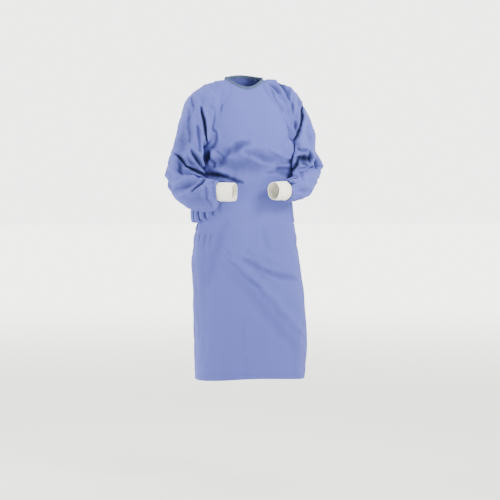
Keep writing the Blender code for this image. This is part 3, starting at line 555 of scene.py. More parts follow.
FRONT_CREASES = creases(
    "front",
    # the chest hangs over the belly, from the middle down to the right armpit
    (0.008, -0.251, -0.077, -0.289, 0.02, -0.0095, 0.0, -0.004, 0.6),
    (-0.069, -0.285, -0.127, -0.347, 0.017, -0.009),
    (-0.093, -0.332, 0.069, -0.343, 0.03, -0.008),
    (-0.004, -0.22, -0.116, -0.274, 0.016, 0.0035),
    (0.008, -0.285, 0.147, -0.32, 0.018, -0.008, 0.0, -0.004, 0.7),
    (0.093, -0.274, 0.17, -0.309, 0.0065, 0.0045),
    # the shade beside the bent left arm, and the pulls out of it
    (0.127, -0.339, 0.177, -0.378, 0.017, -0.008),
    (0.179, -0.243, 0.177, -0.305, 0.013, 0.009),
    (0.116, -0.332, 0.185, -0.32, 0.008, -0.005, 0.2),
    (0.085, -0.366, 0.185, -0.347, 0.009, -0.0045, 0.2),
    # the fold that the right arm presses under the chest
    (-0.147, -0.366, -0.069, -0.38, 0.0105, -0.011, 0.6),
    (-0.085, -0.376, -0.008, -0.403, 0.0095, -0.009, 0.5),
    (-0.131, -0.351, -0.046, -0.363, 0.009, 0.0035),
    # short pulls beside the raglan seams
    (-0.089, -0.077, -0.093, -0.135, 0.005, -0.0025, 0.3),
    (-0.123, -0.058, -0.125, -0.193, 0.0085, -0.005, 0.3),
    (-0.127, -0.189, -0.108, -0.212, 0.006, -0.0035, 0.4),
    (-0.108, -0.208, -0.121, -0.274, 0.008, -0.005, 0.2),
    (-0.12, -0.278, -0.112, -0.336, 0.007, 0.005),
    (-0.1, -0.282, -0.085, -0.316, 0.0065, -0.005, 0.2),
    (-0.127, -0.301, -0.12, -0.347, 0.006, -0.004, 0.3),
    (-0.142, -0.282, -0.142, -0.324, 0.013, -0.011, 1.0),
    # the long fold across the skirt, with its hollows above and below
    (-0.064, -0.683, 0.064, -0.802, 0.015, 0.0046, 0.0, 0.0, 0.6),
    (0.033, -0.768, 0.228, -0.987, 0.019, 0.0063, 0.0, 0.002, 0.6),
    (-0.085, -0.717, 0.046, -0.845, 0.025, -0.002),
    (0.015, -0.825, 0.201, -1.038, 0.025, -0.003, 0.0, 0.002),
    (-0.004, -0.702, 0.1, -0.752, 0.012, -0.0045),
    (0.085, -0.748, 0.204, -0.775, 0.012, -0.005),
    (0.023, -0.663, 0.177, -0.725, 0.016, 0.0035),
    (-0.066, -0.663, -0.05, -0.694, 0.007, -0.002),
    (0.069, -0.586, 0.1, -0.663, 0.012, -0.002),
    # the skirt's edges turn back in slack upright folds
    (-0.172, -0.555, -0.172, -0.972, 0.0095, 0.0042),
    (-0.147, -0.571, -0.154, -1.088, 0.012, -0.002),
    (-0.073, -0.555, -0.135, -0.798, 0.017, -0.003, 0.0, -0.004),
    (0.212, -0.933, 0.216, -1.161, 0.014, 0.0035),
    # the faint line where the gown was folded in its pack
    (-0.004, -0.914, -0.001, -1.049, 0.003, -0.001, 0.6),
    (0.008, -1.065, 0.008, -1.153, 0.003, -0.0011, 0.6),
)
print("creases on the front:", len(FRONT_CREASES))

# %% [markdown]
# ## Creases of the back and the sides
# Behind, pulls run from the shoulder blades and the armpits, and long folds hang below the ties.
# Each side shows two long folds of the skirt and one short pull under the arm.

# %% Creases of the back and the sides
BACK_CREASES = creases(
    "back",
    (0.125, -0.125, 0.03, -0.33, 0.02, -0.0045, 0.2, 0.01),
    (-0.125, -0.12, -0.045, -0.34, 0.02, -0.0045, 0.2, -0.01),
    (0.165, -0.275, 0.06, -0.4, 0.011, -0.0055, 0.4, 0.006),
    (-0.165, -0.27, -0.07, -0.42, 0.011, -0.0055, 0.4, -0.006),
    (0.15, -0.25, 0.04, -0.3, 0.009, 0.003, 0.1, 0.004),
    (-0.01, -0.33, -0.12, -0.455, 0.014, 0.003),
    (0.11, -0.62, 0.15, -1.12, 0.028, 0.006, 0.0, 0.01, 0.7),
    (0.06, -0.61, 0.085, -1.08, 0.02, -0.005, 0.1, 0.006),
    (-0.11, -0.63, -0.16, -1.12, 0.03, 0.006, 0.0, -0.01, 0.7),
    (-0.05, -0.64, -0.07, -1.12, 0.024, -0.005, 0.1, 0.006),
    (0.01, -0.62, 0.02, -0.86, 0.012, -0.003, 0.3, 0.004),
    (-0.095, -0.6, -0.1, -0.76, 0.009, -0.003, 0.3, 0.003),
)
LEFT_CREASES = creases(
    "left",
    (-0.03, -0.62, -0.06, -1.12, 0.028, 0.0045, 0.0, 0.012),
    (0.04, -0.61, 0.055, -1.0, 0.02, -0.004, 0.2, 0.008),
    (0.05, -0.33, -0.04, -0.48, 0.013, -0.0045, 0.3, 0.008),
)
RIGHT_CREASES = creases(
    "right",
    (0.01, -0.62, 0.03, -1.12, 0.028, 0.0045, 0.0, -0.01),
    (-0.05, -0.62, -0.06, -0.98, 0.018, -0.0035, 0.2, 0.006),
    (0.05, -0.33, -0.03, -0.47, 0.013, -0.0045, 0.3, 0.008),
)
BODY_CREASES = FRONT_CREASES + BACK_CREASES + LEFT_CREASES + RIGHT_CREASES
print("creases on the body:", len(BODY_CREASES))

# %% [markdown]
# ## Creases of the right sleeve
# The arms hold the sharpest creases: down the front of the upper arm, into the crook of the
# elbow and along the forearm. They are drawn on three views, because each view shows only the
# cloth that faces it. The views from the side and from behind have the arm's outer creases.

# %% Creases of the right sleeve
RIGHT_ARM_FRONT = creases(
    "front",
    # down the front of the upper arm to the pocket in front of the armpit
    (-0.166, -0.108, -0.143, -0.243, 0.006, -0.012, 1.0, 0.001),
    (-0.143, -0.231, -0.143, -0.282, 0.0045, -0.008, 0.7),
    (-0.143, -0.285, -0.147, -0.324, 0.014, -0.015, 1.0),
    (-0.148, -0.332, -0.147, -0.386, 0.0075, -0.009, 0.9),
    # slack cloth of the upper arm, in soft upright troughs
    (-0.195, -0.062, -0.199, -0.131, 0.008, -0.0045, 0.1),
    (-0.216, -0.123, -0.208, -0.243, 0.012, -0.008, 0.1),
    (-0.179, -0.185, -0.172, -0.282, 0.007, -0.006, 0.3),
    (-0.183, -0.054, -0.177, -0.154, 0.008, 0.0035),
    (-0.197, -0.17, -0.187, -0.262, 0.008, 0.0035),
    (-0.235, -0.185, -0.243, -0.297, 0.022, -0.009),
    (-0.27, -0.201, -0.282, -0.316, 0.012, 0.004),
    # into the crook of the arm
    (-0.264, -0.293, -0.22, -0.343, 0.0075, -0.012, 0.8, 0.005),
    (-0.224, -0.339, -0.147, -0.38, 0.007, -0.014, 1.0, 0.003),
    (-0.204, -0.278, -0.147, -0.355, 0.009, -0.0105, 0.5, -0.004),
    (-0.255, -0.309, -0.239, -0.363, 0.014, -0.0085, 0.45),
    (-0.224, -0.309, -0.177, -0.351, 0.013, -0.0055, 0.5),
    (-0.22, -0.293, -0.174, -0.339, 0.006, 0.003),
    # along the forearm
    (-0.147, -0.382, -0.202, -0.436, 0.0065, -0.0095, 0.9, 0.002),
    (-0.266, -0.43, -0.177, -0.393, 0.013, -0.0075, 0.15),
    (-0.258, -0.401, -0.17, -0.376, 0.009, 0.0045),
    (-0.247, -0.455, -0.17, -0.42, 0.011, 0.004),
    (-0.224, -0.467, -0.123, -0.486, 0.02, -0.004, 0.2),
    (-0.15, -0.42, -0.147, -0.471, 0.008, -0.0055, 0.2),
    (-0.147, -0.463, -0.123, -0.501, 0.0065, -0.005, 0.3),
    (-0.12, -0.39, -0.116, -0.467, 0.006, -0.004, 0.2),
)
RIGHT_ARM_SIDE = creases(
    "right",
    (0.05, -0.24, -0.05, -0.33, 0.011, -0.006, 0.5, 0.008),
    (0.055, -0.32, -0.06, -0.385, 0.012, 0.005, 0.0, 0.006),
    (0.04, -0.37, -0.07, -0.42, 0.009, -0.0055, 0.6, -0.004),
    (0.0, -0.12, 0.02, -0.26, 0.013, -0.0035, 0.2, 0.006),
)
RIGHT_ARM_BACK = creases(
    "back",
    (-0.18, -0.09, -0.24, -0.24, 0.014, -0.006, 0.4, 0.006),
    (-0.17, -0.25, -0.27, -0.33, 0.01, -0.006, 0.6, 0.006),
    (-0.185, -0.31, -0.28, -0.36, 0.009, 0.004, 0.0, 0.004),
)
SLEEVE_CREASES = {"right": RIGHT_ARM_FRONT + RIGHT_ARM_SIDE + RIGHT_ARM_BACK}
print("creases on the right sleeve:", len(SLEEVE_CREASES["right"]))

# %% [markdown]
# ## Creases of the left sleeve
# Here pulls spread from the neck over the shoulder too, and the cloth is bunched in the crook
# of the elbow and behind the cuff.

# %% Creases of the left sleeve
LEFT_ARM_FRONT = creases(
    "front",
    # down the front of the upper arm
    (0.231, -0.096, 0.218, -0.185, 0.007, -0.012, 1.0),
    (0.218, -0.177, 0.191, -0.247, 0.0065, -0.0115, 1.0, 0.002),
    (0.196, -0.166, 0.199, -0.212, 0.0055, -0.0065, 0.6),
    (0.247, -0.185, 0.258, -0.27, 0.009, -0.0035),
    (0.231, -0.193, 0.22, -0.27, 0.009, 0.004),
    # pulls that spread from the neck over the shoulder
    (0.129, -0.015, 0.154, -0.05, 0.0065, -0.007, 0.7, 0.002),
    (0.15, -0.04, 0.17, -0.081, 0.006, -0.0055, 0.6, 0.002),
    (0.17, -0.077, 0.183, -0.108, 0.006, -0.004, 0.2),
    (0.185, -0.096, 0.187, -0.133, 0.006, -0.0055, 0.4),
    (0.1, -0.019, 0.135, -0.058, 0.0055, -0.006, 0.4),
    (0.102, -0.042, 0.125, -0.093, 0.0055, -0.0055, 0.6),
    (0.123, -0.085, 0.15, -0.131, 0.006, -0.0045, 0.2),
    (0.073, -0.015, 0.077, -0.054, 0.0055, -0.0045, 0.3),
    (0.202, -0.062, 0.214, -0.112, 0.006, -0.0048, 0.5, 0.002),
    (0.116, -0.023, 0.174, -0.1, 0.0065, 0.0045, 0.0, 0.002),
    (0.166, -0.031, 0.197, -0.089, 0.007, 0.0045),
    # round the elbow and the crook
    (0.253, -0.282, 0.251, -0.328, 0.007, -0.0095, 0.6),
    (0.255, -0.303, 0.204, -0.314, 0.013, -0.0135, 0.5, 0.002),
    (0.197, -0.247, 0.197, -0.301, 0.012, -0.0045),
    (0.212, -0.307, 0.183, -0.359, 0.0075, -0.0125, 1.0, 0.002),
    (0.218, -0.323, 0.243, -0.336, 0.005, -0.0075, 0.9),
    (0.208, -0.314, 0.251, -0.316, 0.014, -0.0055, 0.4),
    (0.204, -0.351, 0.266, -0.339, 0.006, -0.005, 0.4),
    (0.208, -0.28, 0.243, -0.278, 0.007, -0.007, 0.4),
    (0.278, -0.305, 0.276, -0.351, 0.006, -0.008, 0.6),
    (0.289, -0.312, 0.289, -0.355, 0.006, 0.0035),
    # along the forearm and behind the cuff
    (0.208, -0.359, 0.233, -0.393, 0.006, -0.004, 0.3),
    (0.15, -0.374, 0.185, -0.368, 0.0065, -0.01, 0.8),
    (0.154, -0.391, 0.204, -0.386, 0.0045, -0.0065, 0.8),
    (0.17, -0.404, 0.197, -0.406, 0.005, -0.01, 0.8),
    (0.177, -0.393, 0.201, -0.395, 0.0045, 0.0045),
    (0.212, -0.432, 0.255, -0.434, 0.009, -0.0045, 0.1),
    (0.201, -0.413, 0.262, -0.401, 0.009, 0.0035),
)
LEFT_ARM_SIDE = creases(
    "left",
    (0.05, -0.24, -0.05, -0.33, 0.011, -0.006, 0.5, 0.008),
    (0.055, -0.32, -0.06, -0.38, 0.012, 0.005, 0.0, 0.006),
    (0.04, -0.37, -0.07, -0.41, 0.009, -0.0055, 0.6, -0.004),
    (0.01, -0.12, 0.025, -0.26, 0.013, -0.0035, 0.2, 0.006),
)
LEFT_ARM_BACK = creases(
    "back",
    (0.18, -0.09, 0.24, -0.24, 0.014, -0.006, 0.4, -0.006),
    (0.17, -0.25, 0.27, -0.32, 0.01, -0.006, 0.6, -0.006),
    (0.19, -0.3, 0.275, -0.345, 0.009, 0.004, 0.0, 0.004),
)
SLEEVE_CREASES["left"] = LEFT_ARM_FRONT + LEFT_ARM_SIDE + LEFT_ARM_BACK
print("creases on the left sleeve:", len(SLEEVE_CREASES["left"]))

# %% [markdown]
# ## How a crease moves the cloth
# Across its line a crease is a bell curve, or a sharper one where it is crisp, with the cloth
# banked up a little on both sides. It fades out at both ends and where the cloth turns away
# from the viewer, and it wanders a little, because a crease is never quite straight.

# %% How a crease moves the cloth
CREASE_DEPTH = 1.4
# how far a crease wanders, as a share of its width, in how many radians to a metre, and by how
# much the wave's start differs from one crease to the next
WOBBLES = ((0.16, 6.28 / 0.088, 2.1), (0.048, 6.28 / 0.031, 1.3))
SHARPNESS = 1.7
BANK, BANK_PLACE, BANK_WIDTH = 0.38, 2.0, 0.9
END_WIDTH, END_DEPTH = 0.6, 0.35      # shares of the full width and depth left at the ends
END_CUT = 0.1            # share of the depth's rise, and of its fall, that is left out
TURN_FADE = 2.5          # the cloth that faces the viewer by more than 1 / 2.5 moves in full
SOFT_SHADE = 0.42        # how much painted shade a soft trough gets, against a crisp line of its depth


def crease_push(rows, points, facing):
    """How far the creases move the cloth out at each point, and how much shade is painted into
    them.
    """
    push, shade = np.zeros(points.shape[:-1]), np.zeros(points.shape[:-1])
    places = {view: seen(view, points, facing) for view in {crease.view for crease in rows}}
    for number, crease in enumerate(rows):
        across, up, toward = places[crease.view]
        line = np.array((crease.end_across - crease.across, crease.end_height - crease.height))
        length = np.linalg.norm(line)
        line /= length
        right, rise = across - crease.across, up - crease.height
        along = (right * line[0] + rise * line[1]) / length
        share = np.clip(along, 0.0, 1.0)
        beside = rise * line[0] - right * line[1] - crease.bow * 4.0 * share * (1.0 - share)
        for size, rate, start in WOBBLES:
            beside += size * crease.width * np.sin(share * length * rate + number * start)
        beside = np.where(beside < 0.0, beside / crease.lean, beside)
        width = crease.width * (END_WIDTH + (1.0 - END_WIDTH) * np.sin(math.pi * share))
        apart = np.hypot(beside, (along - share) * length) / width
        soft, sharp = np.exp(-apart ** 2), np.exp(-SHARPNESS * apart)
        bank = BANK * np.exp(-((apart - BANK_PLACE) / BANK_WIDTH) ** 2)
        rise_share = END_CUT + (1.0 - 2.0 * END_CUT) * share
        depth = END_DEPTH + (1.0 - END_DEPTH) * np.sin(math.pi * rise_share)
        step = CREASE_DEPTH * crease.push * depth * np.clip(toward * TURN_FADE, 0.0, 1.0)
        push += step * (soft * (1.0 - crease.crisp) + sharp * crease.crisp - bank)
        # painted shade: crisp creases get it in full, soft troughs a share
        weight = crease.crisp + SOFT_SHADE * (1.0 - crease.crisp)
        shade = np.maximum(shade, np.maximum(-step, 0.0) * weight * soft)
    return push, shade


print("deepest single crease: %.1f mm" % (
    -1000.0 * CREASE_DEPTH * min(row.push for rows in SLEEVE_CREASES.values() for row in rows)))

# %% [markdown]
# ## Seams
# A seam is sewn inside, so the cloth dips into it in a narrow ditch. The distance to the
# nearest seam decides the dip, and both pieces use the same lines, so they still meet.

# %% Seams
SEAM_SINK, SEAM_WIDTH, SEAM_STEP = 0.0011, 0.0032, 0.0015


def seam_tree():
    """A search tree of points on the raglan and side seams."""
    lines = []
    heights = np.linspace(NECK, ARMPIT, 260)
    low_heights = np.arange(HEM, ARMPIT, SEAM_STEP)
    for sign in (1.0, -1.0):
        for angle in (raglan_angle(heights), 180.0 - raglan_angle(heights)):
            lines.append(body_surface(sign * angle, heights)[0])
        lines.append(body_surface(sign * SIDE_SEAM, low_heights)[0])
    points = np.concatenate(lines)
    tree = KDTree(len(points))
    for number, point in enumerate(points):
        tree.insert(point, number)
    tree.balance()
    return tree


seams = seam_tree()


def seam_dip(points):
    flat = points.reshape(-1, 3)
    apart = np.array([seams.find(point)[2] for point in flat]).reshape(points.shape[:-1])
    return -SEAM_SINK * np.exp(-(apart / SEAM_WIDTH) ** 2)


side_seam, _ = body_surface(SIDE_SEAM, np.array((-0.8,)))
print("dip in a side seam: %.4f m" % seam_dip(side_seam)[0])

# %% [markdown]
# ## Trims of the outline
# Seen against a wall, the real gown's edge isn't the smooth line of the rings. It stands out
# over a fold and falls in beside it by a few millimetres. Each table gives that by height, and
# it works only where the cloth turns sideways. The upper arms' outer cloth, which slopes too
# much for that, is shifted sideways instead.

# %% Trims of the outline
# height, and how far the cloth stands out from its solid there
BODY_TRIM = {
    "right": (
        (-1.173, 0.0023), (-1.111, 0.0015), (-1.049, 0.0031), (-0.972, 0.0042), (-0.856, 0.0046),
        (-0.795, 0.0050), (-0.756, 0.0077), (-0.710, 0.0123), (-0.671, 0.0062), (-0.640, 0.0031),
        (-0.602, 0.0000), (-0.471, 0.0000), (0.000, 0.0000),
    ),
    "left": (
        (-1.173, -0.0039), (-1.111, -0.0054), (-1.049, -0.0042), (-0.972, -0.0031),
        (-0.895, -0.0042), (-0.795, -0.0023), (-0.710, -0.0039), (-0.671, -0.0031),
        (-0.640, -0.0069), (-0.602, -0.0031), (-0.555, -0.0008), (-0.517, -0.0050),
        (-0.471, -0.0050), (-0.432, 0.0000), (0.000, 0.0000),
    ),
}
SLEEVE_TRIM = {
    "right": (
        (-0.586, 0.0000), (-0.471, 0.0000), (-0.378, 0.0000), (-0.355, -0.0012), (-0.332, 0.0012),
        (-0.309, -0.0031), (-0.278, -0.0077), (-0.224, -0.0081), (-0.170, -0.0085),
        (-0.139, -0.0069), (-0.108, -0.0008), (-0.046, 0.0000),
    ),
    "left": (
        (-0.586, 0.0000), (-0.451, 0.0023), (-0.432, -0.0023), (-0.401, -0.0046),
        (-0.370, 0.0000), (-0.347, 0.0077), (-0.324, 0.0039), (-0.301, -0.0031),
        (-0.278, -0.0058), (-0.247, 0.0015), (-0.216, 0.0066), (-0.177, 0.0042), (-0.147, 0.0000),
        (-0.123, -0.0039), (-0.100, 0.0000), (-0.077, 0.0039), (-0.054, 0.0058), (-0.023, 0.0000),
    ),
}
# height, and how far the upper arm's cloth lies outwards
UPPER_ARM_SHIFT = {
    "right": (
        (-0.586, 0.0000), (-0.270, 0.0000), (-0.231, -0.0035), (-0.200, -0.0058),
        (-0.154, -0.0080), (-0.123, -0.0045), (-0.100, 0.0010), (-0.077, 0.0038),
        (-0.054, 0.0000), (-0.031, -0.0060), (-0.010, 0.0000),
    ),
    "left": (
        (-0.586, 0.0000), (-0.262, 0.0000), (-0.231, 0.0036), (-0.200, 0.0026), (-0.170, 0.0040),
        (-0.147, 0.0000), (-0.123, -0.0058), (-0.100, -0.0010), (-0.077, 0.0045),
        (-0.054, 0.0085), (-0.038, 0.0010), (-0.025, -0.0030), (-0.010, 0.0000),
    ),
}
print("rows of trims:", sum(
    len(rows) for table in (BODY_TRIM, SLEEVE_TRIM, UPPER_ARM_SHIFT) for rows in table.values()))

# %% [markdown]
# ## How a trim moves the cloth
# A trim has to end softly where the cloth turns away from the outline, or it would leave a
# step. It is measured across the front view, from which the outline is seen.

# %% How a trim moves the cloth
EDGE_FADE = (0.25, 0.9)  # how far the cloth has to face sideways, or up, for a trim to work


def trim(table, side, points, facing):
    """How far the outline stands out, or in, on one side of the gown."""
    heights, pushes = np.array(table[side]).T
    edge = smooth_step(*EDGE_FADE, facing @ np.array(VIEW_RIGHT) * SIGN[side])
    return edge * through(heights, pushes, points[..., 2])


def upper_arm_shift(side, points, facing):
    heights, shifts = np.array(UPPER_ARM_SHIFT[side]).T
    aside = through(heights, shifts, points[..., 2]) * smooth_step(*EDGE_FADE, facing[..., 2])
    return aside[..., None] * np.array(VIEW_RIGHT) * SIGN[side]


side_edge = np.array((0.2, 0.0, -0.7)), np.array((1.0, 0.0, 0.0))
print("trim of the skirt's left edge: %.4f m" % trim(BODY_TRIM, "left", *side_edge))

# %% [markdown]
# ## The finished body
# Creases, trims, slow waves and the folded hem are added up as one push out of the surface.
# The skirt's waves are long and upright. Those above the ties, at the sides and behind, are
# short.

# %% The finished body
SKIRT_WAVES = Waves(0.0022, 0.16, 3, (1.0, 1.0, 5.0))
BODY_WAVES = Waves(0.0009, 0.055, 4, (1.0, 1.0, 1.6))
WAIST_WAVES = Waves(0.0018, 0.030, 5, (0.7, 0.7, 1.8))
HEM_WAVES = Waves(0.0005, 0.022, 6)
SKIRT_WAVES_START = (-0.60, -0.80)
WAIST_WAVES_HEIGHT, WAIST_WAVES_SPREAD = -0.50, 0.06
WAIST_WAVES_FACING = (-0.2, 0.5)      # how far the cloth has to face backwards
HEM_BAND, HEM_STEP, HEM_SOFT, HEM_WAVES_SPREAD = 0.020, 0.0006, 0.001, 0.010


def body_relief(points, facing, height):
    """Creases, trims, waves and the folded hem on the body, and the creases' shade."""
    push, shade = crease_push(BODY_CREASES, points, facing)
    for side in ("right", "left"):
        push = push + trim(BODY_TRIM, side, points, facing)
    push = push + smooth_step(*SKIRT_WAVES_START, height) * rumple(points, SKIRT_WAVES)
    push = push + rumple(points, BODY_WAVES)
    waist = np.exp(-((height - WAIST_WAVES_HEIGHT) / WAIST_WAVES_SPREAD) ** 2)
    waist = waist * smooth_step(*WAIST_WAVES_FACING, facing[..., 1])
    push = push + waist * rumple(points, WAIST_WAVES)
    above_hem = height - HEM
    push = push + HEM_STEP * smooth_step(HEM_BAND + HEM_SOFT, HEM_BAND - HEM_SOFT, above_hem)
    push = push + np.exp(-(above_hem / HEM_WAVES_SPREAD) ** 2) * rumple(points, HEM_WAVES)
    return push, shade


def body_cloth(angle, height, lift=0.0):
    """The finished body surface with its relief."""
    points, facing = body_surface(angle, height, lift)
    height = np.broadcast_to(height, points.shape[:-1])
    return points + facing * body_relief(points, facing, height)[0][..., None], facing


print("middle of the chest: %s" % body_cloth(0.0, -0.20)[0].round(4))

# %% [markdown]
# ## The finished sleeves
# Near its seam a sleeve takes over the body's relief, so both meet. Farther on it has its own
# creases and waves, and the left forearm's cloth sags. Last, every point that would lie in the
# body is moved out of it.

# %% The finished sleeves
SLEEVE_CLEAR, CLEAR_LENGTH, CLEAR_TOP = 0.005, 0.06, ARMPIT + 0.06
ARM_WAVES = {"left": Waves(0.0034, 0.075, 11), "right": Waves(0.0034, 0.075, 12)}
FINE_ARM_WAVES = Waves(0.0013, 0.028, 13)
TAKE_OVER = 0.045        # length along the sleeve over which its own relief takes over
FOREARM_SAG, FOREARM_SAG_PLACE, FOREARM_SAG_LENGTH = 0.010, 0.495, 0.038
SAG_FACING = (0.1, 0.9)  # how far the cloth has to face down to sag
CALM_WRIST, CALM_WRIST_START = 0.6, (0.50, 0.56)
CUFF_TUCK, CUFF_TUCK_START = 0.0022, 0.561


def clear_of_body(points, along):
    """Moves a sleeve's points out sideways until they are clear of the body beside them."""
    shift = read(LEVELS, "shift", points[..., 2])
    flat = points[..., :2] - np.stack((shift, np.zeros_like(shift)), axis=-1)
    reach = np.linalg.norm(flat, axis=-1)
    angle = np.degrees(np.arctan2(flat[..., 0], -flat[..., 1]))
    skin, _ = body_cloth(angle, points[..., 2])
    skin[..., 0] -= shift
    clear = SLEEVE_CLEAR * smooth_step(0.0, CLEAR_LENGTH, along)
    needed = np.linalg.norm(skin[..., :2], axis=-1) + clear
    short = np.where(points[..., 2] <= CLEAR_TOP, np.maximum(needed - reach, 0.0), 0.0)
    moved = points.copy()
    moved[..., :2] += flat / reach[..., None] * short[..., None]
    return moved


def sleeve_cloth(side, around, along):
    """The finished sleeve surface, how it faces, and how deep in shade its creases lie."""
    points, facing = sleeve_surface(side, around, along)
    share = smooth_step(0.0, TAKE_OVER, along)[:, None]
    near_body, near_shade = body_relief(points, facing, points[..., 2])
    own, own_shade = crease_push(SLEEVE_CREASES[side], points, facing)
    own = own + rumple(points, ARM_WAVES[side]) + rumple(points, FINE_ARM_WAVES)
    own = own + trim(SLEEVE_TRIM, side, points, facing)
    points = points + share[..., None] * upper_arm_shift(side, points, facing)
    if side == "left":
        sag = np.exp(-((along - FOREARM_SAG_PLACE) / FOREARM_SAG_LENGTH) ** 2)[:, None]
        own = own + FOREARM_SAG * sag * smooth_step(*SAG_FACING, -facing[..., 2])
    wrist = smooth_step(*CALM_WRIST_START, along)[:, None]
    dip = seam_dip(points)
    own = own * (1.0 - CALM_WRIST * wrist) + dip * (1.0 - share)
    push = (near_body + dip) * (1.0 - share) + own * share
    push = push - CUFF_TUCK * smooth_step(CUFF_TUCK_START, SLEEVE_LENGTH, along)[:, None]
    points = points + facing * push[..., None]
    shade = near_shade * (1.0 - share) + own_shade * share
    return clear_of_body(points, along[:, None]), facing, shade


print("top of the left shoulder: %s" % sleeve_cloth(
    "left", np.array((0.0, 180.0)), np.array((0.0, 0.05)))[0][1, 0].round(4))

# %% [markdown]
# ## Helpers for the nodes
# A finish is a small tree of nodes, which could be drawn by hand in the shader editor. These
# helpers keep a tree short in a script: they set up a node in one line, start a new finish, do
# a sum, and mix two colours.

# %% Helpers for the nodes


def add_node(tree, kind, **values):
    """A node with its properties and input values set, by name."""
    node = tree.nodes.new(kind)
    for name, value in values.items():
        if name in node.inputs:
            node.inputs[name].default_value = value
        else:
            setattr(node, name, value)
    return node


def new_finish(name):
    """A new material, its node tree and its shader."""
    material = bpy.data.materials.new(name)
    material.use_nodes = True
    tree = material.node_tree
    return material, tree, tree.nodes["Principled BSDF"]


def combine(tree, operation, first, second):
    node = add_node(tree, "ShaderNodeMath", operation=operation)
    for socket, value in zip(node.inputs, (first, second)):
        if isinstance(value, (int, float)):
            socket.default_value = value
        else:
            tree.links.new(value, socket)
    return node.outputs[0]


def mix_colour(tree, factor, first, second):
    """A colour between two others, by a socket or a number. first and second may be either."""
    node = add_node(tree, "ShaderNodeMix", data_type="RGBA")
    for name, value in (("Factor", factor), ("A", first), ("B", second)):
        kind = "VALUE" if name == "Factor" else "RGBA"
        socket = next(s for s in node.inputs if s.name == name and s.type == kind)
        if hasattr(value, "is_linked"):
            tree.links.new(value, socket)
        else:
            socket.default_value = value
    return next(s for s in node.outputs if s.type == "RGBA")


trial, trial_tree, _ = new_finish("trial")
combine(trial_tree, "ADD", 1.0, 2.0)
print("nodes of a trial finish:", ", ".join(node.name for node in trial_tree.nodes))
bpy.data.materials.remove(trial)

# %% [markdown]
# ## Threads, clouds and bumps
# Every pattern is made of noise and waves, in the cloth's own lengths or in places on the
# object, so it stays put when the view changes and never shows the grid of an image.

# %% Threads, clouds and bumps
BAND_LENGTH = 2.0 * math.pi / 20.0    # from band to band of a wave texture whose scale is 1


def thread_wave(tree, lengths, direction, pitch, distort):
    """Bands across the cloth's own lengths, one band to a thread."""
    wave = add_node(
        tree, "ShaderNodeTexWave", wave_type="BANDS", bands_direction=direction,
        Scale=BAND_LENGTH / pitch, Distortion=distort,
    )
    tree.links.new(lengths.outputs["UV"], wave.inputs["Vector"])
    return wave.outputs["Fac"]


def clouds(tree, scale, detail):
    """Uneven patches, by the place on the object."""
    place = add_node(tree, "ShaderNodeTexCoord").outputs["Object"]
    node = add_node(tree, "ShaderNodeTexNoise", Scale=scale, Detail=detail)
    tree.links.new(place, node.inputs["Vector"])
    return node.outputs["Fac"]


def bumps(tree, *layers):
    """Bumps on top of each other, each with its distance, its strength and its height."""
    normal = None
    for distance, strength, height in layers:
        node = add_node(tree, "ShaderNodeBump", Strength=strength, Distance=distance)
        tree.links.new(height, node.inputs["Height"])
        if normal is not None:
            tree.links.new(normal, node.inputs["Normal"])
        normal = node.outputs["Normal"]
    return normal


print("the bands of the wave texture are scaled down from %.3f m" % BAND_LENGTH)

# %% [markdown]
# ## Woven and knitted finishes
# The cloth is a plain weave of polyester and cotton: dull, with a slight sheen where it turns
# away. Shade is painted into its folds: its colour goes darker where a crease lies deep. Its
# threads are under half a millimetre, and are drawn a little coarser. The cuffs are a cream rib
# knit and the neck is bound with a greyer strip. One function makes them all, because they differ
# only in their colours, the colour of their painted fold shade, the pitch of their threads and
# their sheen.

# %% Woven and knitted finishes
SHEEN_ROUGHNESS, CLOTH_SPECULAR = 0.45, 0.08
SHEEN_PALENESS = 0.3     # power that makes the sheen's tint paler than the cloth
DEEPEST_DYE = 0.80       # share of the colour where the dye is deepest
DYE_PATCHES, DYE_SPECKS = (7.0, 3.0, 0.22), (900.0, 2.0, 0.14)    # scale, detail and share
WORN_PATCHES = (40.0, 3.0, 0.12)
WEAVE_WANDER, KNIT_WANDER, DOWN_WANDER = 0.15, 0.6, 0.6    # how uneven the threads' lines are
KNIT_SQUASH = 0.8        # a knit's loops are wider than they are high
CRUMPLED, FUZZY = (70.0, 4.0), (260.0, 3.0)     # scale and detail of bumps larger than threads
CRUMPLED_STRENGTH, THREAD_STRENGTH, THREAD_HEIGHT = 0.35, 0.30, 0.6
FUZZY_BUMP = (0.0004, 0.25)           # distance and strength


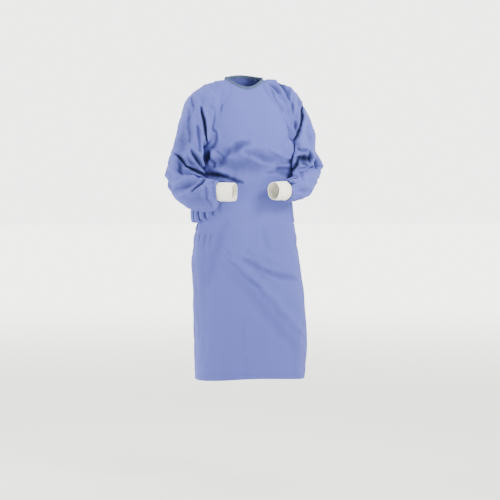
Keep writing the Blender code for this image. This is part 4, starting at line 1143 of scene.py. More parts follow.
def fabric(name, colour, deep, pitch, knit=False, sheen=0.05, rough=0.82, micro=0.0012):
    """A woven or knitted finish. deep is the colour of the shade painted at the bottom of a fold.
    """
    material, tree, shader = new_finish(name)
    shader.inputs["Sheen Weight"].default_value = sheen
    shader.inputs["Sheen Roughness"].default_value = SHEEN_ROUGHNESS
    shader.inputs["Sheen Tint"].default_value = (*[c ** SHEEN_PALENESS for c in colour], 1.0)
    shader.inputs["Specular IOR Level"].default_value = CLOTH_SPECULAR

    def patches(scale, detail, share):
        return combine(tree, "MULTIPLY", clouds(tree, scale, detail), share)

    uneven = combine(tree, "ADD", patches(*DYE_PATCHES), patches(*DYE_SPECKS))
    deeper = (*[DEEPEST_DYE * c for c in colour], 1.0)
    base = mix_colour(tree, uneven, (*colour, 1.0), deeper)
    # painted shade: the crease attribute, how deep a point lies in a fold, mixes the colour towards
    # deep
    crease = add_node(tree, "ShaderNodeAttribute", attribute_name="crease").outputs["Fac"]
    tree.links.new(mix_colour(tree, crease, base, (*deep, 1.0)), shader.inputs["Base Color"])
    dull = combine(tree, "ADD", patches(*WORN_PATCHES), rough - WORN_PATCHES[2] / 2)
    tree.links.new(dull, shader.inputs["Roughness"])
    lengths = add_node(tree, "ShaderNodeUVMap", uv_map="lengths")
    across = thread_wave(tree, lengths, "X", pitch, KNIT_WANDER if knit else WEAVE_WANDER)
    down = thread_wave(tree, lengths, "Y", pitch * (KNIT_SQUASH if knit else 1.0), DOWN_WANDER)
    normal = bumps(
        tree,
        (micro, CRUMPLED_STRENGTH, clouds(tree, *CRUMPLED)),
        (*FUZZY_BUMP, clouds(tree, *FUZZY)),
        (pitch * THREAD_HEIGHT, THREAD_STRENGTH, combine(tree, "MULTIPLY", across, down)),
    )
    tree.links.new(normal, shader.inputs["Normal"])
    return material


# The second colour of each cloth is the shade painted at the bottom of its folds. The binding and
# the thread get none painted in.
BLUE = fabric("gown_cloth", (0.088, 0.100, 0.350), (0.005, 0.009, 0.030), 0.0006)
BINDING = fabric("gown_binding", (0.055, 0.078, 0.140), (0.02, 0.035, 0.07), 0.0006)
KNIT = fabric(
    "gown_cuff_knit", (0.93, 0.91, 0.80), (0.60, 0.57, 0.46), 0.0014, knit=True, sheen=0.35,
    rough=0.88, micro=0.0006,
)
THREAD = fabric("gown_thread", (0.075, 0.086, 0.330), (0.04, 0.06, 0.16), 0.0004, micro=0.0002)
print("cloths:", ", ".join(cloth.name for cloth in (BLUE, BINDING, KNIT, THREAD)))

# %% [markdown]
# ## Moulded plastic
# The snap is moulded in a pale plastic. It is shinier than the cloth, and its gloss is faintly
# uneven, because a moulded face is never quite flat.

# %% Moulded plastic
PLASTIC_COAT, PLASTIC_ROUGHNESS, PLASTIC_UNEVEN = 0.2, 0.25, 0.25
PLASTIC_CLOUDS, PLASTIC_BUMP = (350.0, 3.0), (0.0002, 0.15)


def moulded(name, colour):
    """Moulded plastic with a faint unevenness in its gloss."""
    material, tree, shader = new_finish(name)
    shader.inputs["Base Color"].default_value = (*colour, 1.0)
    shader.inputs["Coat Weight"].default_value = PLASTIC_COAT
    cloud = clouds(tree, *PLASTIC_CLOUDS)
    uneven = combine(tree, "MULTIPLY", cloud, PLASTIC_UNEVEN)
    tree.links.new(combine(tree, "ADD", uneven, PLASTIC_ROUGHNESS), shader.inputs["Roughness"])
    tree.links.new(bumps(tree, (*PLASTIC_BUMP, cloud)), shader.inputs["Normal"])
    return material


PLASTIC = moulded("gown_snap_plastic", (0.74, 0.76, 0.79))
print("plastic:", PLASTIC.name)

# %% [markdown]
# ## Directions on a grid
# A cut piece is drawn as a grid of points, with rows down the cloth and columns across it. The
# way out of the cloth at a point is across both the way to its next row and the way to its next
# column. In a tube the last column's neighbour is the first one, and the cloth's own lengths
# run round it and down it.

# %% Directions on a grid


def way_of(grid, axis, tube):
    """The direction of a grid along one axis, at each of its points."""
    if tube and axis == 1:
        return np.roll(grid, -1, axis=1) - np.roll(grid, 1, axis=1)
    return np.gradient(grid, axis=axis)


def grid_normals(grid, facing, tube=False):
    """Outward normals of a grid, and whether its rows and columns turn the other way."""
    normals = unit(np.cross(way_of(grid, 1, tube), way_of(grid, 0, tube)))
    turned = float((normals * facing).sum(axis=-1).mean()) < 0.0
    return (-normals if turned else normals), turned


def full_turn(count):
    """Angles of a closed ring, in even steps."""
    return np.linspace(0.0, 2.0 * math.pi, count, endpoint=False)


def tube_lengths(turn, radius, down):
    """A tube's own lengths: round it, up to a full turn, and down it."""
    return joined(np.append(turn, 2.0 * math.pi)[None, :] * radius, down[:, None])


square = joined(*np.meshgrid((0.0, 1.0), (0.0, 1.0)), 0.0)
print("a flat square faces", grid_normals(square, np.array((0.0, 0.0, 1.0)))[0][0, 0])

# %% [markdown]
# ## The faces of a thin shell
# A piece has one face outside and one inside, closed round its edges. A Solidify modifier could
# make that from a single layer, but the faces are made here, so that each corner also knows
# its place in the cloth's own lengths, which the weave follows.

# %% The faces of a thin shell


def shell_faces(rows, columns, tube, turned):
    """Row, column and layer of each corner of a closed shell's faces, four corners a face."""
    last = columns if tube else columns - 1
    row, column = np.meshgrid(np.arange(rows - 1), np.arange(last), indexing="ij")
    row, column = row.ravel(), column.ravel()
    outer = np.stack((
        np.stack((row, row, row + 1, row + 1), axis=1),
        np.stack((column, column + 1, column + 1, column), axis=1),
        np.zeros((len(row), 4), int),
    ))
    if turned:
        outer = outer[:, :, ::-1]
    faces = [outer, outer[:, :, ::-1] + np.array((0, 0, 1))[:, None, None]]
    across, down = np.arange(last + 1), np.arange(rows)
    edges = [(0 * across, across), (0 * across + rows - 1, across[::-1])]
    if not tube:
        edges += [(down, 0 * down + columns - 1), (down[::-1], 0 * down)]
    for edge in edges:
        ends = [np.stack((part[:-1], part[1:], part[1:], part[:-1]), axis=1) for part in edge]
        rim = np.stack((*ends, np.broadcast_to((0, 0, 1, 1), ends[0].shape)))
        faces.append(rim if turned else rim[:, :, ::-1])
    return np.concatenate(faces, axis=1)


print("faces of a shell of 3 by 4 points:", shell_faces(3, 4, False, False).shape[1])

# %% [markdown]
# ## A piece of cloth
# The real cloth is about a third of a millimetre thick. It is drawn at 0.8 mm, and thicker
# where it is folded over, so that its edges can be seen. Each point keeps how deep in a fold it
# lies, because shade is painted into the finish there.

# %% A piece of cloth
CLOTH = 0.0008
PAINTED_FOLD_SHADE, PAINTED_SHADE_FULL_DEPTH = 0.92, 0.0105    # how much shade is painted into a crisp fold, and from what depth in full
SHARP_EDGE = math.radians(70.0)


def cloth_piece(name, grid, facing, finish, lengths, thick=CLOTH, tube=False, dark=None):
    """A closed shell from a grid of outer points. dark is how deep in shade they lie, which is
    painted into the finish as a darker colour.
    """
    rows, columns = grid.shape[:2]
    normals, turned = grid_normals(grid, facing, tube)
    inner = grid - normals * np.broadcast_to(thick, (rows, columns))[..., None]
    row, column, layer = shell_faces(rows, columns, tube, turned)
    points = np.concatenate((grid.reshape(-1, 3), inner.reshape(-1, 3)))
    quads = row * columns + column % columns + layer * rows * columns
    mesh = bpy.data.meshes.new(name)
    mesh.from_pydata(points.tolist(), [], quads.tolist())
    places = lengths[row.ravel(), column.ravel()].astype(np.float32)
    mesh.uv_layers.new(name="lengths").data.foreach_set("uv", places.ravel())
    # painted shade: how far each point's colour goes towards its finish's dark fold colour
    depth = np.zeros((rows, columns)) if dark is None else PAINTED_FOLD_SHADE * np.clip(dark / PAINTED_SHADE_FULL_DEPTH, 0.0, 1.0)
    crease = mesh.attributes.new("crease", "FLOAT", "POINT")
    crease.data.foreach_set("value", np.concatenate((depth, depth)).astype(np.float32).ravel())
    mesh.validate()
    mesh.shade_smooth()
    mesh.set_sharp_from_angle(angle=SHARP_EDGE)
    return finish_piece(name, mesh, finish)


def finish_piece(name, mesh, finish):
    """Puts a mesh in the scene with its finish, riding on the gown's one body."""
    piece = bpy.data.objects.new(name, mesh)
    bpy.context.scene.collection.objects.link(piece)
    mesh.materials.append(finish)
    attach(piece, "root")
    return piece


print("cloth is drawn %.1f mm thick, and edges over %.0f degrees stay sharp"
      % (1000.0 * CLOTH, math.degrees(SHARP_EDGE)))

# %% [markdown]
# ## The cut of a piece
# A maker has to know how much cloth a piece takes. Its greatest width and length are measured
# along the grid, over every crease, and its area is the sum of its triangles.

# %% The cut of a piece


def grid_size(grid, tube=False):
    """Greatest width and length of a piece laid flat, and its area, in metres."""
    closed = np.concatenate((grid, grid[:, :1]), axis=1) if tube else grid
    widths = np.linalg.norm(np.diff(closed, axis=1), axis=-1)
    heights = np.linalg.norm(np.diff(closed, axis=0), axis=-1)
    one = np.cross(closed[1:, :-1] - closed[:-1, :-1], closed[:-1, 1:] - closed[:-1, :-1])
    two = np.cross(closed[:-1, 1:] - closed[1:, 1:], closed[1:, :-1] - closed[1:, 1:])
    area = 0.5 * (np.linalg.norm(one, axis=-1) + np.linalg.norm(two, axis=-1)).sum()
    return widths.sum(axis=1).max(), heights.sum(axis=0).max(), area


def declare_cloth(nodes):
    """Hides the piece's solids, which the drawn cloth replaces."""
    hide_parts(*nodes)


print("cut of a square: %.1f x %.1f m, %.1f m2" % grid_size(square))

# %% [markdown]
# ## Rows and columns of the body panels
# Relief is finest in the hem, in the gathers and beside the seams, so rows and columns are
# closer together there. Even steps as fine as that everywhere would take far more points.

# %% Rows and columns of the body panels
ROW_STEP, WAIST_STEP = 0.0041, 0.0018
HEM_ROWS = (0.0, 0.001, 0.004, 0.008, 0.013, 0.0180, 0.0195, 0.0208, 0.0225)
FIRST_PLAIN_ROW = 0.026
WAIST_ROWS = (-0.564, -0.548)
SEAM_COLUMNS = (0.0028, 0.0062, 0.0105)    # shares of the width beside a seam


def body_heights():
    plain = np.arange(HEM + FIRST_PLAIN_ROW, NECK - 0.002, ROW_STEP)
    waist = np.arange(*WAIST_ROWS, WAIST_STEP)
    plain = plain[(plain < waist[0] - 0.002) | (plain > waist[-1] + 0.002)]
    return np.sort(np.concatenate((HEM + np.array(HEM_ROWS), plain, waist, (NECK,))))


def column_shares(count, start_seam=True, end_seam=True):
    """Shares across a panel, with close columns beside the edges that are seams."""
    shares = list(np.linspace(0.0, 1.0, count))
    shares += SEAM_COLUMNS if start_seam else ()
    shares += [1.0 - share for share in SEAM_COLUMNS] if end_seam else []
    return np.array(sorted(shares))


HEIGHTS = body_heights()
print("rows of the body panels:", len(HEIGHTS))

# %% [markdown]
# ## Front and backs
# The front is one panel without a seam in the middle. The left back laps over the right one,
# and its free edge falls a little away from the body. The cloth is doubled in the hem.

# %% Front and backs
MEAN_RADIUS = 0.19       # turns angles into lengths for the weave
HEM_THICK = 0.0015
VALLEY_PAINTED_SHADE = 3.0        # how much shade is painted into the gathers' valleys, counted as crisp lines
FREE_EDGE_FLARE, FREE_EDGE_WIDTH = 0.003, 9.0
FLARE_START, FLARE_LEFT, FLARE_RATE = (-0.62, -0.90), 0.15, 23.0    # least above, most below
FRONT_COLUMNS, LEFT_COLUMNS, RIGHT_COLUMNS = 148, 86, 82


def body_panel(name, node, starts, ends, shares, lift_of):
    """One panel of the body between two edges, given as an angle for each row."""
    angle = starts[:, None] + (ends - starts)[:, None] * shares[None, :]
    height = np.broadcast_to(HEIGHTS[:, None], angle.shape)
    points, facing = body_surface(angle, height, lift_of(angle, height))
    push, dark = body_relief(points, facing, height)
    grid = points + facing * (push + seam_dip(points))[..., None]
    # painted shade in the valleys between the gathers' lobes
    valleys = np.maximum(-gather_lobes(angle, blouse_height(angle, height)), 0.0)
    piece = cloth_piece(
        name, grid, facing, BLUE, joined(np.radians(angle) * MEAN_RADIUS, height),
        np.where(height < HEM + HEM_BAND, HEM_THICK, CLOTH), dark=dark + VALLEY_PAINTED_SHADE * valleys,
    )
    declare_cloth([node])
    return grid, grid_normals(grid, facing)[0]


def no_lift(angle, height):
    return 0.0 * angle


def left_back_lift(angle, height):
    edge = smooth_step(OUTER_EDGE - FREE_EDGE_WIDTH, OUTER_EDGE, angle)
    below = FLARE_LEFT + (1.0 - FLARE_LEFT) * smooth_step(*FLARE_START, height)
    uneven = 0.5 + 0.5 * np.sin(height * FLARE_RATE + 1.0)
    return lap_lift(angle) + FREE_EDGE_FLARE * edge * below * uneven


raglan = raglan_angle(HEIGHTS)
front, front_normals = body_panel(
    "gown_front", "front_panel", -raglan, raglan, column_shares(FRONT_COLUMNS), no_lift,
)
back_left, back_left_normals = body_panel(
    "gown_back_left", "back_panel_left", 180.0 - raglan, np.full_like(raglan, OUTER_EDGE),
    column_shares(LEFT_COLUMNS, end_seam=False), left_back_lift,
)
back_right, back_right_normals = body_panel(
    "gown_back_right", "back_panel_right", np.full_like(raglan, -INNER_EDGE), raglan - 180.0,
    column_shares(RIGHT_COLUMNS, start_seam=False), no_lift,
)

# %% [markdown]
# ## Sleeves
# Each sleeve is one tube of cloth with its seam under the arm. Its first rows are close
# together, because they follow the dip of the raglan seam, and so are those at the wrist.

# %% Two sleeves
SLEEVE_COLUMNS, SLEEVE_RADIUS = 196, 0.075
SEAM_ROWS = (0.0, 0.0014, 0.0032, 0.0055, 0.0085)
ARM_STEP, WRIST_STEP, WRIST_ROWS = 0.0025, 0.0020, 0.500
AROUND = np.linspace(0.0, 360.0, SLEEVE_COLUMNS, endpoint=False)
ALONG = np.concatenate((
    SEAM_ROWS, np.arange(0.012, WRIST_ROWS, ARM_STEP),
    np.arange(WRIST_ROWS, SLEEVE_LENGTH, WRIST_STEP), (SLEEVE_LENGTH,),
))
sleeves = []
for side in ("left", "right"):
    grid, facing, dark = sleeve_cloth(side, AROUND, ALONG)
    piece = cloth_piece(
        "gown_sleeve_" + side, grid, facing, BLUE,
        tube_lengths(np.radians(AROUND), SLEEVE_RADIUS, ALONG), tube=True, dark=dark,
    )
    declare_cloth(
        ["sleeve_%s_front" % side, "sleeve_%s_back" % side],
    )
    sleeves.append((grid, grid_normals(grid, facing, tube=True)[0]))

# %% [markdown]
# ## Neck binding
# A strip is folded over the raw neck edge and stitched through. It stands up a little, and
# laps at the back with the panels. It grows from the finished neck edge, in the direction in
# which the cloth below it runs, so it follows each dent of the neck.

# %% Binding strip
BINDING_HEIGHT, BINDING_WALL = 0.012, 0.0024
BINDING_SHARES = np.array((0.0, 0.04, 0.12, 0.24, 0.38, 0.52, 0.66, 0.80, 0.91, 0.97, 1.0))
BINDING_ROLL, ROLL_ROUNDNESS, BINDING_PUCKER = 0.0007, 0.6, Waves(0.0004, 0.012, 21)
NECK_RADIUS, BINDING_RISE, BINDING_COLUMNS = 0.075, 0.9, 460
binding_angles = np.linspace(-INNER_EDGE, OUTER_EDGE, BINDING_COLUMNS)
neck_edge, binding_facing = body_cloth(binding_angles, NECK, lap_lift(binding_angles))
neck_below, _ = body_cloth(binding_angles, NECK - BINDING_HEIGHT, lap_lift(binding_angles))
up_share = BINDING_SHARES[:, None, None]
stand = unit(neck_edge - neck_below) * (1.0 - 0.5 * up_share)
stand = unit(stand + np.array((0.0, 0.0, BINDING_RISE)) * up_share)
roll = BINDING_ROLL * np.sin(math.pi * BINDING_SHARES) ** ROLL_ROUNDNESS
relief = roll[:, None] + rumple(neck_edge, BINDING_PUCKER)[None, :]
binding_grid = neck_edge + stand * (BINDING_HEIGHT * up_share)
binding_grid = binding_grid + binding_facing * relief[..., None]
binding_facing = np.broadcast_to(binding_facing, binding_grid.shape)
binding = cloth_piece(
    "gown_neck_binding", binding_grid, binding_facing, BINDING,
    joined(np.radians(binding_angles)[None, :] * NECK_RADIUS,
           BINDING_HEIGHT * BINDING_SHARES[:, None]), thick=BINDING_WALL,
)
declare_cloth(["neck_binding"])
binding_normals = grid_normals(binding_grid, binding_facing)[0]

# %% [markdown]
# ## Cuffs
# A cuff is a short tube of rib knit. The ribs run along the arm, and the tube is never quite
# round: it dents where the wrist turned. The mouth ends in a slightly thicker edge. Ribs as
# geometry show in the cuff's outline, which bump wouldn't do.

# %% Two cuffs
CUFF_START, CUFF_END = np.array((0.129, -0.170, -0.434)), np.array((0.074, -0.201, -0.434))
RIGHT_CUFF_DOWN = 0.005
CUFF_RADIUS, CUFF_MOUTH_RADIUS, CUFF_WALL = 0.0345, 0.0325, 0.002
CUFF_TAPER_START, CUFF_ROWS, RIB_COLUMNS = 0.55, 56, 8
CUFF_RIBS, RIB_HEIGHT, RIB_ROUNDNESS, RIB_START = 32, 0.0009, 0.8, (0.02, 0.10)
CUFF_DENTS = Waves(0.0009, 0.030, 31)
CUFF_RING, CUFF_RING_PLACE, CUFF_RING_WIDTH = 0.0006, 0.80, 0.05
CUFF_EDGE, CUFF_EDGE_START = 0.0004, (0.93, 0.99)
RIB_PAINTED_SHADE = 2.5           # how much shade is painted into the grooves between ribs, counted as creases


def cuff_piece(side):
    place = np.array((SIGN[side], 1.0, 1.0))
    down = np.array((0.0, 0.0, RIGHT_CUFF_DOWN if side == "right" else 0.0))
    start, end = CUFF_START * place - down, CUFF_END * place - down
    axis = unit(end - start)
    across = unit(np.cross(axis, (0.0, 0.0, 1.0)))
    up = np.cross(across, axis)
    turn, shares = full_turn(CUFF_RIBS * RIB_COLUMNS), np.linspace(0.0, 1.0, CUFF_ROWS)
    facing = across * np.cos(turn)[:, None] + up * np.sin(turn)[:, None]
    facing = np.broadcast_to(facing, (len(shares), len(turn), 3))
    radius = through(
        (0.0, CUFF_TAPER_START, 1.0), (CUFF_RADIUS, CUFF_RADIUS, CUFF_MOUTH_RADIUS), shares
    )
    middle = start + (end - start) * shares[:, None]
    grid = middle[:, None, :] + facing * radius[:, None, None]
    ribs = RIB_HEIGHT * np.abs(np.cos(0.5 * CUFF_RIBS * turn)) ** RIB_ROUNDNESS
    ribs = ribs[None, :] * smooth_step(*RIB_START, shares)[:, None]
    ring = -CUFF_RING * np.exp(-((shares - CUFF_RING_PLACE) / CUFF_RING_WIDTH) ** 2)
    ring = ring + CUFF_EDGE * smooth_step(*CUFF_EDGE_START, shares)
    grid = grid + facing * (ribs + rumple(grid, CUFF_DENTS) + ring[:, None])[..., None]
    lengths = tube_lengths(turn, CUFF_RADIUS, shares * np.linalg.norm(end - start))
    # the grooves between the ribs get painted shade
    piece = cloth_piece(
        "gown_cuff_" + side, grid, facing, KNIT, lengths, CUFF_WALL, tube=True,
        dark=(RIB_HEIGHT - ribs) * RIB_PAINTED_SHADE,
    )
    declare_cloth(
        ["cuff_" + side]
    )


for side in ("left", "right"):
    cuff_piece(side)

# %% [markdown]
# ## Straps
# A tie is a folded strap, a little thinner at its edges than in its middle. Both ties and both
# free ends lie on the finished back, so they are made from its points, moved out.

# %% Straps
TIE_WIDTH, TIE_WALL = 0.025, 0.0013
TIE_OFF = 0.0027         # from the back to a strap's outer face
TIE_COLUMNS = np.array((-1.0, -0.93, -0.6, -0.2, 0.2, 0.6, 0.93, 1.0))
TIE_EDGE = 0.0005 * (1.0 - np.abs(TIE_COLUMNS) ** 6)


def strap(name, node, grid, facing):
    steps = np.linalg.norm(np.diff(grid[:, 0], axis=0), axis=-1)
    run = np.concatenate(([0.0], np.cumsum(steps)))
    lengths = joined(TIE_COLUMNS[None, :] * TIE_WIDTH / 2, run[:, None])
    piece = cloth_piece(name, grid, facing, BLUE, lengths, thick=TIE_WALL)
    declare_cloth([node])


print("a strap is %.1f mm wide and %.1f mm off the back" % (1000 * TIE_WIDTH, 1000 * TIE_OFF))

# %% [markdown]
# ## Waist ties and their tails
# The ties are sewn in at the side seams and knotted in the middle of the back. They press the
# gathers flat where they pass, and grow narrower and more crumpled towards the knot. Their free
# ends hang from the knot and curl a little.

# %% Waist ties and tails
KNOT_SIDE = 171.5        # angle at which a tie goes into the knot
NEAR_KNOT, KNOT_NARROWING = (158.0, 171.0), 0.18
TIE_TUCK, TIE_CLIMB = 3.0, (12.0, 1.5)     # degrees past the side seam, and before the free edge
TIE_CRUMPLE, CRUMPLE_AT_SEAM = Waves(0.0007, 0.018, 41), 0.3
TIE_ROWS, TAIL_ROWS = 110, 80
TAIL_LENGTH, TAIL_ANGLE, TAIL_SPREAD = 0.27, 6.3, 5.0
TAIL_TOP = TIE_HEIGHT - TIE_WIDTH / 2 - 0.0035
TAIL_RADIUS, TAIL_CURL, TAIL_CURL_RATE = 0.140, 0.0018, 9.0
TAIL_START, TAIL_START_LENGTH = 0.004, 0.3
TAIL_SWAY, TAIL_SWAY_RATE, TAIL_NARROWING, TAIL_NARROW_LENGTH = 0.8, 7.0, 0.28, 0.15


def waist_tie(side):
    angle = SIGN[side] * np.linspace(SIDE_SEAM - TIE_TUCK, KNOT_SIDE, TIE_ROWS)[:, None]
    near_knot = smooth_step(*NEAR_KNOT, np.abs(angle))
    height = TIE_HEIGHT + TIE_COLUMNS * TIE_WIDTH / 2 * (1.0 - KNOT_NARROWING * near_knot)
    climb = (360.0 - OUTER_EDGE - degrees for degrees in TIE_CLIMB)
    lift = lap_lift(angle) if side == "left" else LAP_LIFT * smooth_step(*climb, -angle)
    points, facing = body_cloth(angle, height, lift + TIE_OFF)
    crumple = np.abs(rumple(points, TIE_CRUMPLE)) * (CRUMPLE_AT_SEAM + near_knot)
    grid = points + facing * (TIE_EDGE + crumple)[..., None]
    strap("gown_tie_" + side, "waist_tie_" + side, grid, facing)


def tie_tail(side):
    sign, share = SIGN[side], np.linspace(0.0, 1.0, TAIL_ROWS)[:, None]
    sway = TAIL_SWAY * np.sin(share * TAIL_SWAY_RATE + sign)
    middle = 180.0 - sign * (TAIL_ANGLE + TAIL_SPREAD * share) + sway
    wide = 1.0 - TAIL_NARROWING + TAIL_NARROWING * smooth_step(0.0, TAIL_NARROW_LENGTH, share)
    half = math.degrees(TIE_WIDTH / 2 / TAIL_RADIUS) * wide
    off = TIE_OFF + TAIL_START * (1.0 - smooth_step(0.0, TAIL_START_LENGTH, share))
    curl = TAIL_CURL * (0.5 + 0.5 * np.sin(share * TAIL_CURL_RATE + sign)) * TIE_COLUMNS ** 2
    points, facing = body_cloth(
        middle + TIE_COLUMNS * half, TAIL_TOP - TAIL_LENGTH * share, LAP_LIFT + off + curl
    )
    grid = points + facing * TIE_EDGE[:, None]
    strap("gown_tie_tail_" + side, "tie_tail_" + side, grid, facing)


for side in ("left", "right"):
    waist_tie(side)
    tie_tail(side)

# %% [markdown]
# ## Knot
# Two straps pass over each other once and are drawn tight, which leaves a lump with two turns
# of cloth across it. Tying the straps point by point would show little more at this size, so
# the lump is a ball whose surface is drawn in between the turns.

# %% Knot
KNOT_WALL, KNOT_POLE, KNOT_COLUMNS, KNOT_ROWS = 0.0012, 0.03, 96, 60
KNOT_RUMPLE = Waves(0.03, 0.9, 51)
KNOT_PLEATS, PLEATS_ALONG, PLEATS_OUT = 0.035, 30.0, 4.0
# how far the ball reaches, and how much shade is painted into the grooves between its turns
KNOT_REACH, KNOT_PAINTED_SHADE = 0.99, -0.06
KNOT_RADIUS, KNOT_HALF_HEIGHT = 0.015, 0.013


def knot_piece():
    low, high = (np.array(corner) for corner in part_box("waist_knot"))
    turn, tilt = full_turn(KNOT_COLUMNS), np.linspace(KNOT_POLE, math.pi - KNOT_POLE, KNOT_ROWS)
    across = np.sin(tilt)[:, None] * np.cos(turn)
    out = np.sin(tilt)[:, None] * np.sin(turn)
    up = np.broadcast_to(np.cos(tilt)[:, None], across.shape)
    facing = unit(joined(across, out, up))
    slant, counter = across * 0.75 + up * 0.65, across * 0.7 - up * 0.7
    turns = 0.0
    # where a groove lies, how wide it is and how deep
    for way, place, width, depth in (
        (slant, 0.05, 0.10, 0.16), (slant, -0.62, 0.09, 0.10), (counter, 0.45, 0.08, 0.07),
    ):
        turns = turns - depth * np.exp(-((way - place) / width) ** 2)
    pleats = KNOT_PLEATS * np.sin(slant * PLEATS_ALONG + out * PLEATS_OUT)
    reach = KNOT_REACH + turns + pleats + rumple(facing, KNOT_RUMPLE)
    grid = (low + high) / 2 + facing * (high - low) / 2 * reach[..., None]
    # the grooves between the turns get painted shade
    piece = cloth_piece(
        "gown_waist_knot", grid, facing, BLUE,
        tube_lengths(turn, KNOT_RADIUS, tilt * KNOT_HALF_HEIGHT), KNOT_WALL, tube=True,
        dark=turns * KNOT_PAINTED_SHADE,
    )
    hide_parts("waist_knot")


knot_piece()

# %% [markdown]
# ## Snap
# A small press stud of pale plastic holds the lapped neck. It is turned from a profile: a flat
# rim, a shallow groove and a low dome. Three points of the finished back give its seat.

# %% Snap
SNAP_ANGLE, SNAP_HEIGHT, SNAP_ANGLE_STEP, SNAP_HEIGHT_STEP = 186.0, -0.030, 2.0, 0.006
SNAP_SINK, SNAP_WALL, SNAP_RADIUS, SNAP_COLUMNS = 0.0007, 0.0004, 0.005, 48
# radius and height, from the dome's middle to the rim's foot
SNAP_PROFILE = np.array((
    (0.0001, 0.0019), (0.0015, 0.0018), (0.0026, 0.0014), (0.0030, 0.0010), (0.0036, 0.0010),
    (0.0040, 0.0015), (0.0049, 0.0015), (0.0054, 0.0010), (0.0055, 0.0002), (0.0054, -0.0006),
))


def snap_piece():
    angle = SNAP_ANGLE + SNAP_ANGLE_STEP * np.array((0.0, 1.0, 0.0))
    height = SNAP_HEIGHT + SNAP_HEIGHT_STEP * np.array((0.0, 0.0, 1.0))
    seat, _ = body_cloth(angle, height, LAP_LIFT)
    out = unit(np.cross(seat[1] - seat[0], seat[2] - seat[0]))
    across = unit(seat[1] - seat[0])
    turn, (radius, rise) = full_turn(SNAP_COLUMNS), SNAP_PROFILE.T
    ring = across * np.cos(turn)[:, None] + np.cross(out, across) * np.sin(turn)[:, None]
    centre = np.mean(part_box("neck_snap"), axis=0) - out * SNAP_SINK
    grid = centre + ring * radius[:, None, None] + out * rise[:, None, None]
    piece = cloth_piece(
        "gown_neck_snap", grid, np.broadcast_to(out, grid.shape), PLASTIC,
        tube_lengths(turn, SNAP_RADIUS, radius), SNAP_WALL, tube=True,
    )
    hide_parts("neck_snap")


snap_piece()
print("snap: %.1f mm across" % (2000.0 * SNAP_PROFILE[:, 0].max()))

# %% [markdown]
# ## One row of stitches
# Each stitch is a short thread that sinks into the cloth at both ends, and is thickest in its
# middle. It is a tube of four rings, and a row of them is laid along one row or column of a
# panel's own grid, so it lies on the finished cloth.

# %% One row of stitches
STITCH_LENGTH, STITCH_GAP, STITCH_RADIUS, STITCH_SIDES = 0.0028, 0.0010, 0.00032, 5
# place along the stitch, share of its radius, and how far the ring is off the cloth
STITCH_PROFILE = ((-1.0, 0.35, -0.6), (-0.6, 1.0, 0.5), (0.6, 1.0, 0.5), (1.0, 0.35, -0.6))
ALONG_STEP = 0.0008


def stitch_faces():
    """Corners of one stitch's faces, ring by ring."""
    faces = []
    for ring in range(len(STITCH_PROFILE) - 1):
        for side in range(STITCH_SIDES):
            start, after = ring * STITCH_SIDES, (side + 1) % STITCH_SIDES
            faces.append((start + side, start + after, start + STITCH_SIDES + after,
                          start + STITCH_SIDES + side))
    return np.array(faces)


def stitch_row(line, normals):
    """Corner points and faces of the stitches along one line on the cloth."""
    steps = np.linalg.norm(np.diff(line, axis=0), axis=1)
    run = np.concatenate(([0.0], np.cumsum(steps)))
    pitch = STITCH_LENGTH + STITCH_GAP
    middles = np.arange(pitch / 2, run[-1] - pitch / 2, pitch)

    def at(values, place):
        return np.stack([np.interp(place, run, values[:, axis]) for axis in range(3)], axis=-1)

    centre, normal = at(line, middles), unit(at(normals, middles))
    along = unit(at(line, middles + ALONG_STEP) - at(line, middles - ALONG_STEP))
    beside = np.cross(normal, along)
    turn = full_turn(STITCH_SIDES)[None, :, None]
    round_way = beside[:, None, :] * np.cos(turn) + normal[:, None, :] * np.sin(turn)
    rings = []
    for place, radius, sink in STITCH_PROFILE:
        middle = centre + along * (place * STITCH_LENGTH / 2) + normal * (sink * STITCH_RADIUS)
        rings.append(middle[:, None, :] + STITCH_RADIUS * radius * round_way)
    points = np.stack(rings, axis=1).reshape(-1, 3)
    first = np.arange(len(centre)) * STITCH_SIDES * len(STITCH_PROFILE)
    return points, (stitch_faces() + first[:, None, None]).reshape(-1, 4)


print("faces of one stitch:", len(stitch_faces()))

# %% [markdown]
# ## Rows of stitches
# A machine sews the hem, the binding, the raglan seams and the free edges of the backs. The
# rows of one seam are joined to one object, because thousands of objects would be slow.

# %% Rows of stitches
HEM_STITCHES = 0.018     # above the hem's edge
RAGLAN_ROW, BINDING_ROW, EDGE_COLUMN = 4, 3, 4


def stitches(name, rows):
    """One object with several rows of stitches."""
    points, faces, count = [], [], 0
    for line, normals in rows:
        row_points, row_faces = stitch_row(line, normals)
        points.append(row_points)
        faces.append(row_faces + count)
        count += len(row_points)
    mesh = bpy.data.meshes.new(name)
    mesh.from_pydata(np.concatenate(points).tolist(), [], np.concatenate(faces).tolist())
    mesh.shade_smooth()
    finish_piece(name, mesh, THREAD)
    print("%-24s %d faces" % (name, len(mesh.polygons)))


hem_row = int(np.searchsorted(HEIGHTS, HEM + HEM_STITCHES))
edge_rows = slice(hem_row, len(HEIGHTS) - 1)
stitches("gown_hem_stitches", [
    (front[hem_row], front_normals[hem_row]),
    (back_left[hem_row], back_left_normals[hem_row]),
    (back_right[hem_row], back_right_normals[hem_row]),
])
stitches("gown_raglan_stitches", [
    (grid[RAGLAN_ROW], normals[RAGLAN_ROW]) for grid, normals in sleeves
])
stitches("gown_back_edge_stitches", [
    (back_left[edge_rows, -1 - EDGE_COLUMN], back_left_normals[edge_rows, -1 - EDGE_COLUMN]),
    (back_right[edge_rows, EDGE_COLUMN], back_right_normals[edge_rows, EDGE_COLUMN]),
])
stitches("gown_binding_stitches", [(binding_grid[BINDING_ROW], binding_normals[BINDING_ROW])])

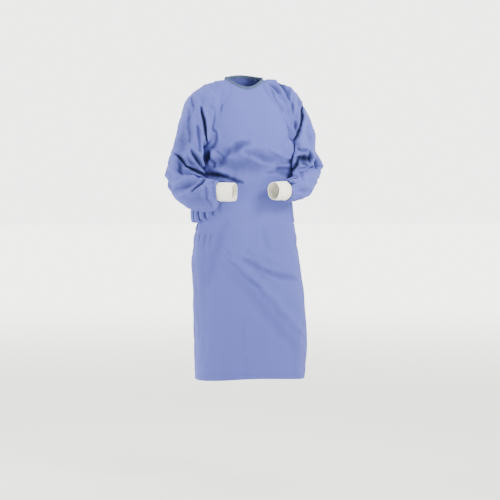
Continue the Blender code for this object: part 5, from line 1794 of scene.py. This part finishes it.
# %% [markdown]
# ## Floor
# A pale floor lies below the gown's hem, at the height of a wearer's soles, and runs out of
# sight. It glows a little, and more with the distance, so that it ends in no dark line against
# the bright wall from any side.

# %% Floor
FLOOR_HEIGHT, FLOOR_REACH = -1.575, 60.0
FLOOR_GLOW, FAR_FLOOR_GLOW, FLOOR_FADE = 1.0, 3.4, (2.0, 11.0)
FLOOR_COLOUR, ROOM_COLOUR = (0.64, 0.64, 0.62, 1.0), (0.97, 0.98, 0.94, 1.0)


def fade(tree, value, start, end, low, high):
    """A smooth change from low to high while a value goes from start to end."""
    node = add_node(
        tree, "ShaderNodeMapRange", interpolation_type="SMOOTHSTEP",
        **{"From Min": start, "From Max": end, "To Min": low, "To Max": high},
    )
    tree.links.new(value, node.inputs["Value"])
    return node.outputs["Result"]


floor_finish, floor_tree, floor_shader = new_finish("pale_floor")
floor_shader.inputs["Base Color"].default_value = FLOOR_COLOUR
floor_shader.inputs["Roughness"].default_value = 0.9
floor_shader.inputs["Emission Color"].default_value = ROOM_COLOUR
floor_place = add_node(floor_tree, "ShaderNodeTexCoord").outputs["Object"]
floor_away = add_node(floor_tree, "ShaderNodeVectorMath", operation="LENGTH")
floor_tree.links.new(floor_place, floor_away.inputs[0])
glow = fade(floor_tree, floor_away.outputs["Value"], *FLOOR_FADE, FLOOR_GLOW, FAR_FLOOR_GLOW)
floor_tree.links.new(glow, floor_shader.inputs["Emission Strength"])
floor_mesh = bpy.data.meshes.new("floor")
corners = [(x * FLOOR_REACH, y * FLOOR_REACH, FLOOR_HEIGHT)
           for x, y in ((-1, -1), (1, -1), (1, 1), (-1, 1))]
floor_mesh.from_pydata(corners, [], [(0, 1, 2, 3)])
floor_mesh.materials.append(floor_finish)
floor = bpy.data.objects.new("floor", floor_mesh)
bpy.context.scene.collection.objects.link(floor)
print("floor %.3f m below the hem" % (HEM - FLOOR_HEIGHT))

# %% [markdown]
# ## Room
# The room is bright behind the gown, as seen from the camera, and near the floor all round. A
# plain white world would light the cloth evenly from every side and wash out its folds, so it
# is dim in front and overhead.

# %% Room
ROOM_LIGHT, WALL_LIGHT = 0.35, 4.2
WALL_FADE, WALL_TOP = (-0.4, 0.97), (0.10, 0.26)
world = bpy.data.worlds.new("bright_room")
world.use_nodes = True
room = world.node_tree
background = room.nodes["Background"]
background.inputs["Color"].default_value = ROOM_COLOUR
way = add_node(room, "ShaderNodeTexCoord").outputs["Generated"]
behind = add_node(room, "ShaderNodeVectorMath", operation="DOT_PRODUCT")
room.links.new(way, behind.inputs[0])
behind.inputs[1].default_value = (-VIEW_BACK.x, -VIEW_BACK.y, 0.0)
up_way = add_node(room, "ShaderNodeSeparateXYZ")
room.links.new(way, up_way.inputs["Vector"])
back_wall = fade(room, behind.outputs["Value"], *WALL_FADE, ROOM_LIGHT, WALL_LIGHT)
low_wall = fade(room, up_way.outputs["Z"], *WALL_TOP, WALL_LIGHT, ROOM_LIGHT)
room.links.new(combine(room, "MAXIMUM", back_wall, low_wall), background.inputs["Strength"])
bpy.context.scene.world = world
print("room light from %.2f to %.1f" % (ROOM_LIGHT, WALL_LIGHT))

# %% [markdown]
# ## Lamps
# A small lamp at the front right, with its beam narrowed, draws the folds. One at the left
# lifts the edge of the skirt, and a large soft one overhead lights the shoulders.

# %% Lamps


def lamp(name, place, aim, size, power, spread=180.0):
    data = bpy.data.lights.new(name, "AREA")
    data.shape, data.size, data.energy = "DISK", size, power
    data.spread = math.radians(spread)
    light = bpy.data.objects.new(name, data)
    light.location = place
    light.rotation_mode = "QUATERNION"
    light.rotation_quaternion = (Vector(place) - Vector(aim)).to_track_quat("Z", "Y")
    bpy.context.scene.collection.objects.link(light)
    print("%-9s %.1f W from %.2f m" % (name, power, (Vector(place) - Vector(aim)).length))


lamp("key_lamp", (1.35, -2.0, 0.75), (0.0, 0.0, -0.15), 0.9, 31.5, spread=95.0)
lamp("side_lamp", (-2.8, 0.4, 0.1), (0.0, 0.0, -0.6), 1.4, 92.0)
lamp("top_lamp", (0.0, -0.8, 2.9), (0.0, 0.0, -0.6), 2.6, 106.0)

# %% [markdown]
# ## Camera
# The camera looks from waist height, from six metres, with a long lens, so that the gown keeps
# its proportions. It stands where the front view of the creases was drawn.

# %% Camera
camera_data = bpy.data.cameras.new("camera")
camera_data.lens, camera_data.sensor_width = 112.0, 36.0
camera = bpy.data.objects.new("camera", camera_data)
camera.location = VIEW_TARGET + VIEW_BACK * VIEW_DISTANCE
camera.rotation_mode = "QUATERNION"
camera.rotation_quaternion = VIEW_BACK.to_track_quat("Z", "Y")
bpy.context.scene.collection.objects.link(camera)
bpy.context.scene.camera = camera
print("lens %.0f mm at %.1f m" % (camera_data.lens, VIEW_DISTANCE))
